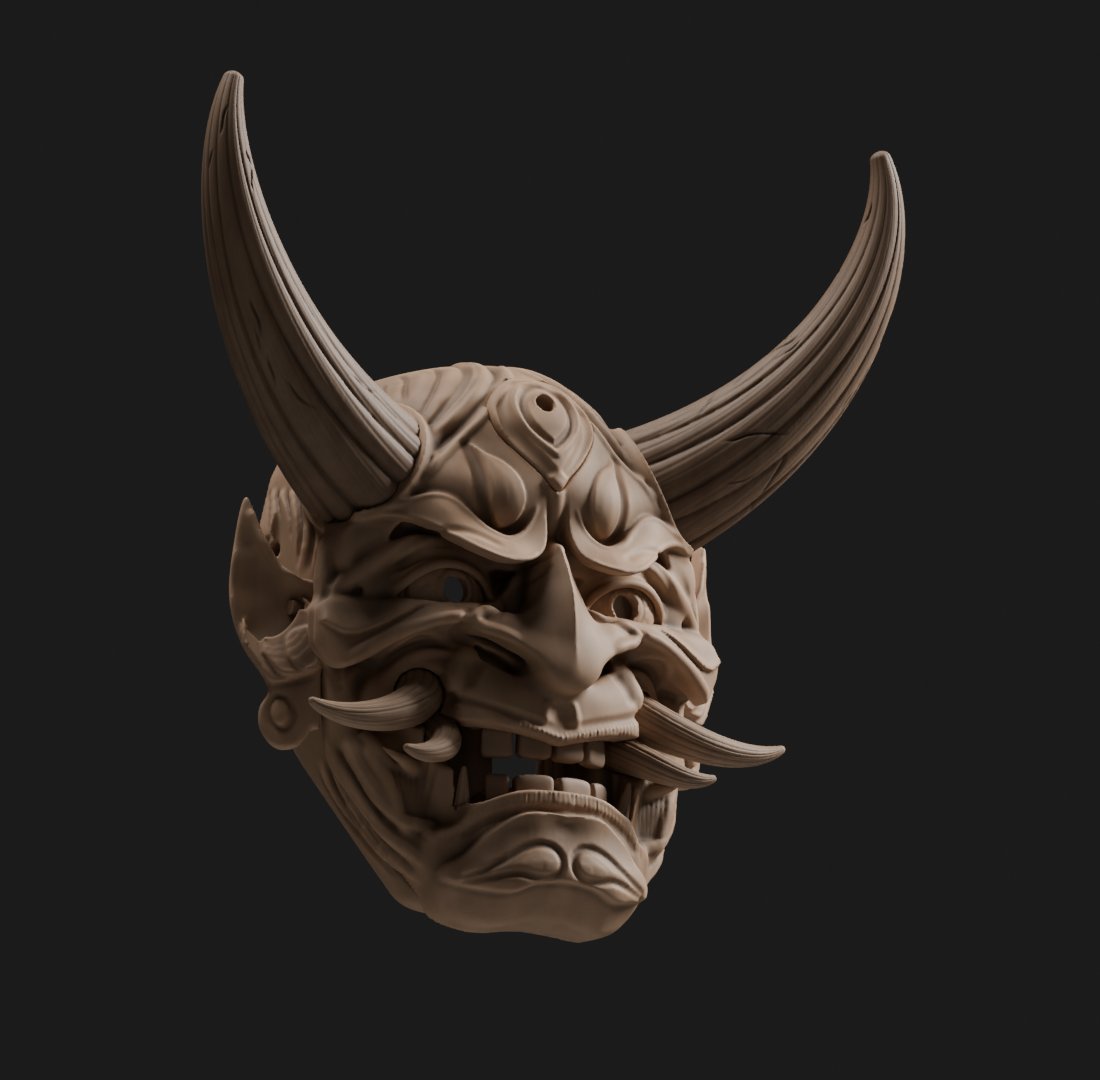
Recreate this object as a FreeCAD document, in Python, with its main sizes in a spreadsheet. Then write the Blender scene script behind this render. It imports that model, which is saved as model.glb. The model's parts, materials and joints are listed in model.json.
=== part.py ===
import FreeCAD, Part

import math
import os

import Sketcher

# A carved wooden demon mask: a hollow face block with horns, ears, tusks, teeth and eyes made as
# separate pieces and let into it on dowels and in sockets.
#
# Millimetres. The face looks along -Y, +Z is up and +X is the viewer's right. The back rim lies in the
# plane y = 0, and the origin is where the wearer's line of sight between the pupils meets that plane.

DIMENSIONS = {
    # hollow block: the loft's stations are in STATIONS, and scale with these
    "wall": 8.0,
    "rim_bulge": 14.0,
    "chin_rim_z": -92.0,
    "chin_rise": 16.7,
    "jaw_bevel": 61.3,
    # eyes
    "pupil_x": 32.2,
    "pupil_radius": 4.6,
    "eye_front": 70.0,
    "eye_ball_radius": 19.0,
    "eye_insert_radius": 14.5,
    "eye_insert_depth": 17.0,
    "eye_shell": 4.0,
    # forehead boss
    "boss_width": 40.0,
    "boss_height": 50.0,
    "boss_thickness": 9.0,
    "boss_dome": 4.0,
    "boss_pupil_radius": 3.3,
    "boss_z": 60.0,
    "boss_y": 71.0,
    "boss_tilt": 24.0,
    # mouth
    "arch_centre_y": 38.5,
    "arch_radius_upper": 40.0,
    "arch_radius_lower": 41.5,
    "pocket_split": -58.0,
    "pocket_top": -37.0,
    "pocket_bottom": -77.0,
    "mouth_half_width": 37.0,
    "mouth_top": -47.0,
    "mouth_bottom": -65.0,
    "tooth_depth": 6.0,
    "tooth_fillet": 1.2,
    "tooth_gap": 0.5,
    "upper_centre_width": 12.6,
    "upper_side_width": 12.0,
    "upper_height": 10.0,
    "upper_edge_z": -55.3,
    "lower_centre_width": 14.6,
    "lower_side_width": 9.4,
    "lower_height": 11.0,
    "lower_edge_z": -61.0,
    "gum_thickness": 6.4,
    "gum_half_angle": 42.0,
    # fastenings
    "horn_dowel_radius": 6.0,
    "horn_dowel_length": 30.0,
    "horn_dowel_sunk": 8.0,
    "small_dowel_radius": 2.5,
    "small_dowel_length": 16.0,
    "clearance": 0.1,
    "seat_clearance": 0.3,
    # cord holes
    "cord_hole_radius": 2.5,
    "cord_hole_y": -9.0,
    "cord_hole_z": 20.0,
    "cord_face_outer": 67.6,
    "cord_face_inner": 61.8,
    "cord_face_radius": 5.5,
    # ears
    "ear_thickness": 9.0,
    "ear_root_x": 66.5,
    "ear_root_y": -36.0,
    "ear_splay": 29.0,
}

# The block's level outlines, from the chin to the crown: height, half width, depth, and the power of
# the superellipse, which is 2 for an ellipse and grows as the outline gets squarer.
STATIONS = [
    (-109, 20, 66, 2.4),
    (-100, 33, 76, 2.8),
    (-84, 43, 82, 3.0),
    (-58, 53, 84, 3.2),
    (-36, 61, 80, 3.0),
    (-12, 68, 72, 2.5),
    (8, 71, 71, 2.2),
    (28, 69, 77, 2.0),
    (46, 64, 78, 2.0),
    (63, 54, 73, 2.0),
    (76, 40, 61, 2.0),
    (85, 21, 43, 2.0),
]

# The way that the flat below each jaw muscle faces, on the right-hand side.
JAW_FACING = (0.648, 0.513, -0.563)

# Curved pieces: the four control points of each axis (right-hand side), the root and tip radii, and
# the power of the taper.
TAPERED = {
    "horn": ([(55, -46, 43.5), (115, -73, 75), (134, -83, 134), (122.5, -81.5, 162)], 23.5, 2.3, 1.1),
    "cheek_tusk": ([(40, -58, -33), (50, -78, -45), (76, -73, -51), (90.5, -74, -42.5)], 8.2, 0.8, 0.7),
    "mouth_tusk": ([(34, -60, -47), (37, -80, -54), (50, -81, -61), (59.3, -82, -56.6)], 6.4, 0.7, 0.7),
    "lower_fang": ([(29.5, -67.5, -76), (30, -69.5, -70), (31, -71.5, -65), (31.3, -73, -59.3)], 3.4, 0.5, 0.7),
}
TAPER_STATIONS = 7

# Outline of the ear in its own plane: distance out from its root, and height. The root is its first
# and last point.
EAR_OUTLINE = [
    (0, 4), (9, 8), (17, 19), (23, 32), (27.5, 14), (28, -2),
    (24.5, -16), (17.5, -29), (18.5, -42), (13, -51.5), (5, -51), (0, -45),
]

# Swellings added to the block on both sides: centre, the x, y and z radii, and the turn about Z.
SWELLINGS = {
    "brow_hook": ((22, -74, 17), (18, 16, 11), 8),
    "brow_ridge": ((46, -64, 21), (25, 13, 9), 24),
    "lid": ((33, -54, 0), (27, 13, 18), 12),
    "cheek": ((50, -58, -15), (26, 15, 13), 12),
    "laugh_fold": ((36, -62, -38), (17, 14, 19), 25),
    "nostril_wing": ((17, -76, -22), (13, 10, 10), 0),
    "jaw_muscle": ((46, -42, -48), (14, 22, 30), 20),
    "chin_lobe": ((19, -62, -96), (21, 21, 17), 10),
    "ear_mound": ((53, -34, -18), (17, 17, 42), 0),
}
# The same for those on the middle line.
CENTRE_SWELLINGS = {
    "nose_bridge": ((0, -75, -4), (9, 12, 24), 0),
    "nose_tip": ((0, -79, -27), (14, 14, 10), 0),
    "upper_lip": ((0, -47, -43), (44, 40, 6), 0),
    "lower_lip": ((0, -47, -70), (44, 39.5, 7), 0),
    "forehead_ridge": ((0, -70, 28), (6, 12, 24), 0),
}

SIDES = {"left": -1, "right": 1}  # as seen by somebody who faces the mask
EDGE_POINTS = 20


def make_sheet(doc):
    """The spreadsheet that holds every driving dimension under its own alias."""
    sheet = doc.addObject("Spreadsheet::Sheet", "Dims")
    for row, (alias, value) in enumerate(DIMENSIONS.items(), start=1):
        sheet.set(f"A{row}", alias.replace("_", " "))
        sheet.set(f"B{row}", str(value))
        sheet.setAlias(f"B{row}", alias)
    doc.recompute()
    return sheet


DOC = FreeCAD.newDocument("DemonMask")
DIMS = make_sheet(DOC)


def size(alias):
    """A dimension read back from the sheet, for shapes that no parametric feature makes."""
    return float(DIMS.get(alias))


def bind(obj, **expressions):
    """Binds properties to expressions. Two underscores stand for the dot in a property's path."""
    for path, expression in expressions.items():
        obj.setExpression(path.replace("__", "."), expression)
    return obj


def at(obj, x, y, z, axis=None, angle=0):
    """Places a feature by expressions, turned about an axis by a fixed angle in degrees."""
    if axis:
        obj.Placement = FreeCAD.Placement(FreeCAD.Vector(), FreeCAD.Rotation(FreeCAD.Vector(*axis), angle))
    return bind(obj, Placement__Base__x=x, Placement__Base__y=y, Placement__Base__z=z)


def feature(name, shape):
    """A piece whose shape is built with Part's own functions."""
    obj = DOC.addObject("Part::Feature", name)
    obj.Shape = shape
    return obj


def cylinder(name, radius, height):
    return bind(DOC.addObject("Part::Cylinder", name), Radius=radius, Height=height)


def ellipsoid(name, centre, radii, turn=0):
    obj = DOC.addObject("Part::Ellipsoid", name)
    obj.Radius2, obj.Radius3, obj.Radius1 = radii
    obj.Angle1, obj.Angle2, obj.Angle3 = -90, 90, 360
    obj.Placement = FreeCAD.Placement(
        FreeCAD.Vector(*centre), FreeCAD.Rotation(FreeCAD.Vector(0, 0, 1), turn)
    )
    return obj


def fuse(name, pieces):
    obj = DOC.addObject("Part::MultiFuse", name)
    obj.Shapes = pieces
    return obj


def cut(name, base, tool):
    obj = DOC.addObject("Part::Cut", name)
    obj.Base, obj.Tool = base, tool
    return obj


def chain(kind, name, pieces):
    """Booleans of one kind, a piece at a time, which stay sound where a single large one doesn't."""
    result = pieces[0]
    for i, piece in enumerate(pieces[1:], start=1):
        step = DOC.addObject(kind, name if i == len(pieces) - 1 else f"{name}_step_{i}")
        step.Base, step.Tool, step.Refine = result, piece, False
        result = step
    return result


def common(name, *pieces):
    obj = DOC.addObject("Part::MultiCommon", name)
    obj.Shapes = list(pieces)
    return obj


# Curved, tapered pieces


def bezier(points):
    curve = Part.BezierCurve()
    curve.setPoles([FreeCAD.Vector(*p) for p in points])
    return curve


def mirrored(points, side):
    return [(side * x, y, z) for x, y, z in points]


def round_wire(centre, along, radius):
    return Part.Wire(Part.Circle(centre, along, radius).toShape())


def taper_shape(kind, side):
    """A solid of round section along a Bezier axis, closed by a rounded tip."""
    points, root_radius, tip_radius, power = TAPERED[kind]
    axis = bezier(mirrored(points, side))
    wires = []
    for i in range(TAPER_STATIONS):
        share = i / (TAPER_STATIONS - 1) * 0.98
        radius = tip_radius + (root_radius - tip_radius) * (1 - share) ** power
        wires.append(round_wire(axis.value(share), axis.tangent(share)[0], radius))
    solid = Part.makeLoft(wires, True, False)
    end_radius = tip_radius + (root_radius - tip_radius) * 0.02**power
    return solid.fuse(Part.makeSphere(end_radius, axis.value(0.98))).removeSplitter()


def root_of(kind, side):
    """Where a curved piece's root is, and the direction that it leaves in."""
    axis = bezier(mirrored(TAPERED[kind][0], side))
    return axis.value(0), axis.tangent(0)[0]


def rod(start, along, length, radius):
    return Part.makeCylinder(radius, length, start, along)


def make_horn(side_name):
    """A horn, bored at its root for its dowel."""
    side = SIDES[side_name]
    root, along = root_of("horn", side)
    bore_depth = size("horn_dowel_length") - size("horn_dowel_sunk") + size("seat_clearance")
    bore = rod(root, along, bore_depth, size("horn_dowel_radius") + size("clearance"))
    return feature(f"horn_{side_name}", taper_shape("horn", side).cut(bore))


def make_horn_dowel(side_name):
    """The dowel that carries a horn, half in the block and half in the horn."""
    root, along = root_of("horn", SIDES[side_name])
    start = root - along * size("horn_dowel_sunk")
    shape = rod(start, along, size("horn_dowel_length"), size("horn_dowel_radius"))
    return feature(f"horn_dowel_{side_name}", shape)


def make_tusk(kind, side_name):
    return feature(f"{kind}_{side_name}", taper_shape(kind, SIDES[side_name]))


def tusk_socket(kind, side_name):
    """The round socket that a tusk's root is let into."""
    root, along = root_of(kind, SIDES[side_name])
    radius = TAPERED[kind][1] + size("seat_clearance")
    return rod(root - along * size("seat_clearance"), along, 60, radius)


# The eyes


def make_eye(side_name):
    """An eye: the front cap of a ball on a short skirt, hollow, with the pupil bored through."""
    sign = "-" if side_name == "left" else ""
    name = f"eye_{side_name}"

    def along_y(obj, y):
        return at(obj, f"{sign}Dims.pupil_x", y, "0", (1, 0, 0), 90)

    ball = bind(DOC.addObject("Part::Sphere", f"{name}_ball"), Radius="Dims.eye_ball_radius")
    at(ball, f"{sign}Dims.pupil_x", "-(Dims.eye_front - Dims.eye_ball_radius)", "0")
    body = along_y(
        cylinder(f"{name}_body", "Dims.eye_insert_radius", "Dims.eye_insert_depth + 1"),
        "-(Dims.eye_front - Dims.eye_insert_depth)",
    )
    inner_ball = bind(
        DOC.addObject("Part::Sphere", f"{name}_inner_ball"), Radius="Dims.eye_ball_radius - Dims.eye_shell"
    )
    at(inner_ball, f"{sign}Dims.pupil_x", "-(Dims.eye_front - Dims.eye_ball_radius)", "0")
    pupil = along_y(
        cylinder(f"{name}_pupil", "Dims.pupil_radius", "Dims.eye_front"), "-(Dims.eye_front / 2)"
    )
    cap = common(f"{name}_cap", ball, body)
    return cut(name, cap, fuse(f"{name}_hollow", [inner_ball, pupil]))


# The mouth


def arch_point(radius, angle):
    """A point of the dental arch. The angle is from the middle line, towards +X."""
    return FreeCAD.Vector(radius * math.sin(angle), -size("arch_centre_y") - radius * math.cos(angle), 0)


def make_gum(name, radius, low, high):
    """A bar bent to the dental arch, which the teeth of one jaw stand on."""
    half = math.radians(size("gum_half_angle"))
    inner = radius - size("gum_thickness")

    def arc(r):
        return Part.Arc(arch_point(r, -half), arch_point(r, 0), arch_point(r, half)).toShape()

    def end(angle):
        return Part.LineSegment(arch_point(inner, angle), arch_point(radius, angle)).toShape()

    wire = Part.Wire(Part.__sortEdges__([arc(radius), arc(inner), end(half), end(-half)]))
    bar = Part.Face(wire).extrude(FreeCAD.Vector(0, 0, high - low))
    bar.translate(FreeCAD.Vector(0, 0, low))
    return feature(name, bar)


def make_tooth(name, width, height, radius, angle, edge_z, upward):
    """A tooth: a padded block with rounded edges, set square to the arch. Height and width name cells."""
    body = DOC.addObject("PartDesign::Body", name)
    plane = next(f for f in body.Origin.OriginFeatures if f.Role == "XZ_Plane")
    sketch = body.newObject("Sketcher::SketchObject", f"{name}_outline")
    sketch.AttachmentSupport = [(plane, "")]
    sketch.MapMode = "FlatFace"
    half, tall = size(width) / 2, size(height)
    corners = [(-half, 0), (half, 0), (half, tall), (-half, tall)]
    for i, (x, y) in enumerate(corners):
        x2, y2 = corners[(i + 1) % 4]
        sketch.addGeometry(Part.LineSegment(FreeCAD.Vector(x, y, 0), FreeCAD.Vector(x2, y2, 0)), False)
    for i in range(4):
        sketch.addConstraint(Sketcher.Constraint("Coincident", i, 2, (i + 1) % 4, 1))
    for edge, direction in ((1, "Vertical"), (2, "Horizontal"), (3, "Vertical")):
        sketch.addConstraint(Sketcher.Constraint(direction, edge))
    sketch.addConstraint(Sketcher.Constraint("PointOnObject", 0, 1, -1))
    sketch.addConstraint(Sketcher.Constraint("Symmetric", 0, 1, 0, 2, -2))
    for label, edge, value, cell in (
        ("wide", 0, 2 * half, f"Dims.{width} - Dims.tooth_gap"),
        ("tall", 1, tall, f"Dims.{height}"),
    ):
        number = sketch.addConstraint(Sketcher.Constraint("Distance", edge, value))
        sketch.renameConstraint(number, label)
        sketch.setExpression(f"Constraints.{label}", cell)
    pad = body.newObject("PartDesign::Pad", f"{name}_pad")
    pad.Profile = sketch
    bind(pad, Length="Dims.tooth_depth")
    DOC.recompute()
    rounded = body.newObject("PartDesign::Fillet", f"{name}_fillet")
    rounded.Base = (pad, [f"Edge{i + 1}" for i in range(len(pad.Shape.Edges))])
    bind(rounded, Radius="Dims.tooth_fillet")
    sketch.Visibility = False
    place = arch_point(radius - size("tooth_depth"), angle)
    place.z = edge_z if upward else edge_z - tall
    body.Placement = FreeCAD.Placement(
        place, FreeCAD.Rotation(FreeCAD.Vector(0, 0, 1), math.degrees(angle))
    )
    return body


def make_teeth():
    """Four upper and four lower teeth, edge to edge round the arch."""
    teeth = []
    for jaw, upward in (("upper", True), ("lower", False)):
        radius = size(f"arch_radius_{jaw}")
        middle = radius - size("tooth_depth") / 2
        centre, outer = size(f"{jaw}_centre_width"), size(f"{jaw}_side_width")
        angles = {"centre": centre / 2 / middle, "side": (centre + outer / 2) / middle}
        for place, angle in angles.items():
            for side_name, side in SIDES.items():
                teeth.append(
                    make_tooth(
                        f"tooth_{jaw}_{place}_{side_name}",
                        f"{jaw}_{place}_width",
                        f"{jaw}_height",
                        radius,
                        side * angle,
                        size(f"{jaw}_edge_z"),
                        upward,
                    )
                )
    return teeth


def make_tongue():
    """The tongue, rising behind the lower teeth and trimmed to the arch."""
    mass = ellipsoid("tongue_mass", (0, -58, -74), (23, 19, 12))
    trim = cylinder("tongue_trim", "Dims.arch_radius_lower - Dims.gum_thickness - 0.6", "30")
    at(trim, "0", "-Dims.arch_centre_y", "Dims.pocket_bottom + Dims.seat_clearance")
    return common("tongue", mass, trim)


# The ears and the forehead boss


def ear_sketch(body, outline):
    plane = next(f for f in body.Origin.OriginFeatures if f.Role == "XZ_Plane")
    sketch = body.newObject("Sketcher::SketchObject", f"{body.Name}_outline")
    sketch.AttachmentSupport = [(plane, "")]
    sketch.MapMode = "FlatFace"
    curve = Part.BSplineCurve()
    curve.interpolate([FreeCAD.Vector(x, z, 0) for x, z in outline])
    sketch.addGeometry(curve, False)
    first, last = outline[0], outline[-1]
    sketch.addGeometry(
        Part.LineSegment(FreeCAD.Vector(*last, 0), FreeCAD.Vector(*first, 0)), False
    )
    return sketch


def make_ear(side_name):
    """An ear: a padded outline that stands out from the head, bored for its two dowels."""
    side = SIDES[side_name]
    body = DOC.addObject("PartDesign::Body", f"ear_{side_name}_blank")
    sketch = ear_sketch(body, [(side * x, z) for x, z in EAR_OUTLINE])
    pad = body.newObject("PartDesign::Pad", f"ear_{side_name}_pad")
    pad.Profile = sketch
    bind(pad, Length="Dims.ear_thickness")
    pad.Midplane = True
    body.Placement = FreeCAD.Placement(
        FreeCAD.Vector(), FreeCAD.Rotation(FreeCAD.Vector(0, 0, 1), side * size("ear_splay"))
    )
    bind(
        body,
        Placement__Base__x=f"{side} * Dims.ear_root_x",
        Placement__Base__y="Dims.ear_root_y",
    )
    DOC.recompute()
    keep = Part.makeBox(60, 100, 140, FreeCAD.Vector(size("ear_root_x"), -90, -70))
    shape = body.Shape.common(mirrored_shape(keep, side))
    for hole in ear_dowel_shapes(side, size("clearance")):
        shape = shape.cut(hole)
    return feature(f"ear_{side_name}", shape)


def ear_dowel_shapes(side, extra=0.0):
    """The two dowels that an ear hangs on, or the holes for them if extra is the clearance."""
    length = size("small_dowel_length") + 2 * extra
    start_x = size("ear_root_x") - size("small_dowel_length") / 2 - extra
    return [
        rod(
            FreeCAD.Vector(side * start_x, size("ear_root_y") + 3.5, z),
            FreeCAD.Vector(side, 0, 0),
            length,
            size("small_dowel_radius") + extra,
        )
        for z in (-4, -36)
    ]


def make_ear_dowels(side_name):
    return feature(f"ear_dowels_{side_name}", Part.makeCompound(ear_dowel_shapes(SIDES[side_name])))


def boss_outline(width, height):
    """A drop: a half circle above, running by two curves into a point below."""
    half = width / 2
    top = height - half
    arc = Part.Arc(
        FreeCAD.Vector(-half, 0, 0), FreeCAD.Vector(0, half, 0), FreeCAD.Vector(half, 0, 0)
    ).toShape()
    sides = [
        Part.BezierCurve()
        for _ in range(2)
    ]
    for curve, side in zip(sides, (-1, 1)):
        curve.setPoles(
            [
                FreeCAD.Vector(side * half, 0, 0),
                FreeCAD.Vector(side * half, -top * 0.45, 0),
                FreeCAD.Vector(side * half * 0.2, -top * 0.6, 0),
                FreeCAD.Vector(0, -top, 0),
            ]
        )
    edges = [arc] + [c.toShape() for c in sides]
    return Part.Face(Part.Wire(Part.__sortEdges__(edges)))


def boss_placement():
    """The boss stands on the brow's slope, tilted back."""
    return FreeCAD.Placement(
        FreeCAD.Vector(0, -size("boss_y"), size("boss_z")),
        FreeCAD.Rotation(FreeCAD.Vector(1, 0, 0), 90 - size("boss_tilt")),
    )


def boss_block(extra, thickness):
    """The drop-shaped block, its back face on the seat, grown by extra all round."""
    block = boss_outline(size("boss_width") + 2 * extra, size("boss_height") + 2 * extra)
    block = block.extrude(FreeCAD.Vector(0, 0, thickness))
    block.translate(FreeCAD.Vector(0, 0, -size("boss_thickness") + size("boss_dome")))
    return block


def make_forehead_eye():
    """The drop-shaped forehead boss with its domed, bored eye."""
    dome = Part.makeSphere(size("boss_width") * 0.3, FreeCAD.Vector(0, 0, -5))
    pupil = Part.makeCylinder(size("boss_pupil_radius"), 20, FreeCAD.Vector(0, 1, 1))
    block = boss_block(0, size("boss_thickness"))
    back = block.BoundBox.ZMin
    shape = block.fuse(dome).cut(Part.makeBox(80, 80, 40, FreeCAD.Vector(-40, -40, back - 40))).cut(pupil)
    obj = feature("forehead_eye", shape)
    obj.Placement = boss_placement()
    return obj


# The hollow block


def ring(height, half_width, depth, power, back):
    """A closed level outline: half a superellipse before the rim plane, and a flatter half behind it."""

    def share(value):
        return math.copysign(abs(value) ** (2 / power), value)

    points = []
    for i in range(EDGE_POINTS):
        angle = 2 * math.pi * i / EDGE_POINTS
        reach = depth if math.sin(angle) > 0 else back
        x = half_width * share(math.cos(angle))
        points.append(FreeCAD.Vector(x, -reach * share(math.sin(angle)), height))
    curve = Part.BSplineCurve()
    curve.interpolate(points, PeriodicFlag=True)
    return Part.Wire(curve.toShape())


def block_loft(inset):
    """The block's outer form, or with an inset the form of its hollow."""
    low, high = STATIONS[0][0], STATIONS[-1][0]
    rings = []
    for height, half_width, depth, power in STATIONS:
        squeezed = (height - (low + high) / 2) * (1 - 2 * inset / (high - low)) + (low + high) / 2
        rings.append(ring(squeezed, half_width - inset, depth - inset, power, size("rim_bulge")))
    return Part.makeLoft(rings, True, False)


def under_chin(raised):
    """What is planed off below the chin, where the underside rises towards the rim."""
    block = Part.makeBox(240, 170, 60, FreeCAD.Vector(-120, -140, -60))
    slope = FreeCAD.Rotation(FreeCAD.Vector(1, 0, 0), size("chin_rise"))
    return placed(block, FreeCAD.Placement(FreeCAD.Vector(0, 0, size("chin_rim_z") + raised), slope))


def jaw_bevel(side, raised):
    """What is planed off along one side of the jaw, between the ear and the chin."""
    across, back, up = JAW_FACING
    facing = FreeCAD.Vector(side * across, back, up)
    block = Part.makeBox(260, 260, 90, FreeCAD.Vector(-130, -130, 0))
    turn = FreeCAD.Rotation(FreeCAD.Vector(0, 0, 1), facing)
    return placed(block, FreeCAD.Placement(facing * (size("jaw_bevel") - raised), turn))


def horn_boss(side_name):
    """The round seat that a horn's flat root stands on."""
    root, along = root_of("horn", SIDES[side_name])
    return rod(root - along * 26, along, 26, TAPERED["horn"][1] + 2)


def mirrored_shape(shape, side):
    return shape if side > 0 else shape.mirror(FreeCAD.Vector(), FreeCAD.Vector(1, 0, 0))


def ear_room(side):
    """What is planed off the mound behind the cheek, so that the ear's root stands on a flat."""
    return mirrored_shape(Part.makeBox(50, 32, 110, FreeCAD.Vector(size("ear_root_x"), -42, -65)), side)


def cord_hole_cutter(side):
    """A cord hole through the side wall, with a flat round face at each mouth."""
    centre = (size("cord_hole_y"), size("cord_hole_z"))

    def along_x(start, length, radius):
        return rod(FreeCAD.Vector(side * start, *centre), FreeCAD.Vector(side, 0, 0), length, radius)

    inner, outer = size("cord_face_inner"), size("cord_face_outer")
    radius = size("cord_face_radius")
    through = along_x(40, 60, size("cord_hole_radius"))
    return through.fuse([along_x(outer, 12, radius), along_x(inner - 12, 12, radius)])


def make_mask_shell():
    """The carved face block: a hollow loft with its swellings, less every socket and opening."""
    added = [feature("block_form", block_loft(0))]
    for name, (centre, radii, turn) in CENTRE_SWELLINGS.items():
        added.append(ellipsoid(name, centre, radii, turn))
    for side_name, side in SIDES.items():
        for name, ((x, y, z), radii, turn) in SWELLINGS.items():
            added.append(ellipsoid(f"{name}_{side_name}", (side * x, y, z), radii, side * turn))
        added.append(feature(f"horn_boss_{side_name}", horn_boss(side_name)))
    blank = chain("Part::Fuse", "block_blank", added)

    wall = size("wall")
    floor = [under_chin(wall), jaw_bevel(1, wall), jaw_bevel(-1, wall)]
    hollow = feature("block_hollow", block_loft(wall).cut(floor))
    behind = feature("behind_rim", Part.makeBox(300, 80, 300, FreeCAD.Vector(-150, 0, -150)))
    pockets = []
    for jaw, low, high in (("upper", "split", "top"), ("lower", "bottom", "split")):
        radius = f"Dims.arch_radius_{jaw} + Dims.seat_clearance"
        pocket = cylinder(f"{jaw}_pocket", radius, f"Dims.pocket_{high} - Dims.pocket_{low}")
        bind(pocket, Angle="2 * Dims.gum_half_angle + 12")
        turn = -90 - size("gum_half_angle") - 6
        pockets.append(at(pocket, "0", "-Dims.arch_centre_y", f"Dims.pocket_{low}", (0, 0, 1), turn))
    slot = DOC.addObject("Part::Box", "mouth_slot")
    bind(slot, Length="2 * Dims.mouth_half_width", Width="60", Height="Dims.mouth_top - Dims.mouth_bottom")
    at(slot, "-Dims.mouth_half_width", "-110", "Dims.mouth_bottom")
    tools = [hollow, behind, slot, *pockets, feature("under_chin", under_chin(0))]
    tools.append(feature("boss_seat", placed(boss_block(size("seat_clearance"), 40), boss_placement())))
    for side_name, side in SIDES.items():
        tools += side_tools(side_name, side)
    return chain("Part::Cut", "mask_shell", [blank, *tools])


def placed(shape, placement):
    moved = shape.copy()
    moved.Placement = placement
    return moved


def side_tools(side_name, side):
    """What is cut from one side of the block: eye socket, dowel holes, tusk sockets, cord hole, nostril."""
    socket = cylinder(f"eye_socket_{side_name}", "Dims.eye_insert_radius + Dims.seat_clearance", "80")
    at(socket, f"{side} * Dims.pupil_x", "-30", "0", (1, 0, 0), 90)
    root, along = root_of("horn", side)
    sunk = size("horn_dowel_sunk") + size("seat_clearance")
    shapes = {
        "dowel_hole": rod(root - along * sunk, along, sunk, size("horn_dowel_radius") + size("clearance")),
        "horn_room": rod(root, along, 60, TAPERED["horn"][1] + 6),
        "ear_room": ear_room(side),
        "jaw_bevel": jaw_bevel(side, 0),
        "cord_hole": cord_hole_cutter(side),
        "nostril": rod(FreeCAD.Vector(side * 16, -50, -25), FreeCAD.Vector(side * 0.1, -1, -0.3), 45, 3),
        "cheek_tusk_socket": tusk_socket("cheek_tusk", side_name),
        "mouth_tusk_socket": tusk_socket("mouth_tusk", side_name),
    }
    for i, hole in enumerate(ear_dowel_shapes(side, size("clearance"))):
        shapes[f"ear_dowel_hole_{i + 1}"] = hole
    return [socket] + [feature(f"{name}_{side_name}", shape) for name, shape in shapes.items()]


def build():
    """Every sub-part of the mask, in the order it would be assembled."""
    parts = [make_mask_shell(), make_forehead_eye(), make_tongue(), *make_teeth()]
    centre, gap = size("arch_centre_y"), size("seat_clearance")
    upper_gum_low = size("upper_edge_z") + size("upper_height")
    lower_gum_high = size("lower_edge_z") - size("lower_height")
    parts.append(make_gum("upper_gum", size("arch_radius_upper"), upper_gum_low, size("pocket_top") - gap))
    parts.append(make_gum("lower_gum", size("arch_radius_lower"), size("pocket_bottom") + gap, lower_gum_high))
    for side_name in SIDES:
        parts += [
            make_eye(side_name),
            make_horn(side_name),
            make_horn_dowel(side_name),
            make_ear(side_name),
            make_ear_dowels(side_name),
            make_tusk("cheek_tusk", side_name),
            make_tusk("mouth_tusk", side_name),
            make_tusk("lower_fang", side_name),
        ]
    return parts


def check(parts):
    """Stops if any object failed to recompute, or any sub-part's shape is missing or not valid."""
    for obj in DOC.Objects:
        if {"Invalid", "Error"} & set(obj.State):
            raise RuntimeError(f"{obj.Name} failed: {obj.State}")
    for part in parts:
        if part.Shape.isNull() or not part.Shape.isValid() or not part.Shape.Solids:
            raise RuntimeError(f"{part.Name} has no valid solid")


def export(parts):
    os.makedirs("parts", exist_ok=True)
    for part in parts:
        part.Label = part.Name
        part.Shape.exportStep(os.path.join("parts", f"{part.Name}.step"))
        print(f"{part.Name}: {len(part.Shape.Solids)} solids, {part.Shape.Volume / 1000:.2f} cm3")


PARTS = build()
DOC.recompute()
check(PARTS)
export(PARTS)
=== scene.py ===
import json
import math
from functools import reduce
from itertools import product

import bpy
import numpy as np
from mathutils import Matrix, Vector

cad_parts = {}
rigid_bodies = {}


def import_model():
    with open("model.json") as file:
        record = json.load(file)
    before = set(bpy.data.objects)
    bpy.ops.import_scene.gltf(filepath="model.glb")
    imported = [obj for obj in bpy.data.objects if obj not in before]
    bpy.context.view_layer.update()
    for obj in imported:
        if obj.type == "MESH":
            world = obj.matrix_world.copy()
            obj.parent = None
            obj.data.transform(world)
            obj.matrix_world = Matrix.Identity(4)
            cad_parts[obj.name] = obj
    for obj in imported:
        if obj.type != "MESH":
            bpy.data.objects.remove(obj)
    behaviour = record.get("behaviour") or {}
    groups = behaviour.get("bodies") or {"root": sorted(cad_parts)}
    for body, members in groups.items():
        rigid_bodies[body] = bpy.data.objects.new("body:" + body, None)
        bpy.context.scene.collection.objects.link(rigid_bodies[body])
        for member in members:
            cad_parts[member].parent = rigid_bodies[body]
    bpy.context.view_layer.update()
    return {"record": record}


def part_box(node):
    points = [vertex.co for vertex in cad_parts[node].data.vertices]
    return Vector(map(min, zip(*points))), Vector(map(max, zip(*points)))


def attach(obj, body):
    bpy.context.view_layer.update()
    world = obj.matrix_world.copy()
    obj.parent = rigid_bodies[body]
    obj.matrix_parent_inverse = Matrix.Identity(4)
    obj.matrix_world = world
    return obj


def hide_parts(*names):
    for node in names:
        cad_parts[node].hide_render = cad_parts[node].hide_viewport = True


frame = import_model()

import openvdb
from mathutils import Vector

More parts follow.
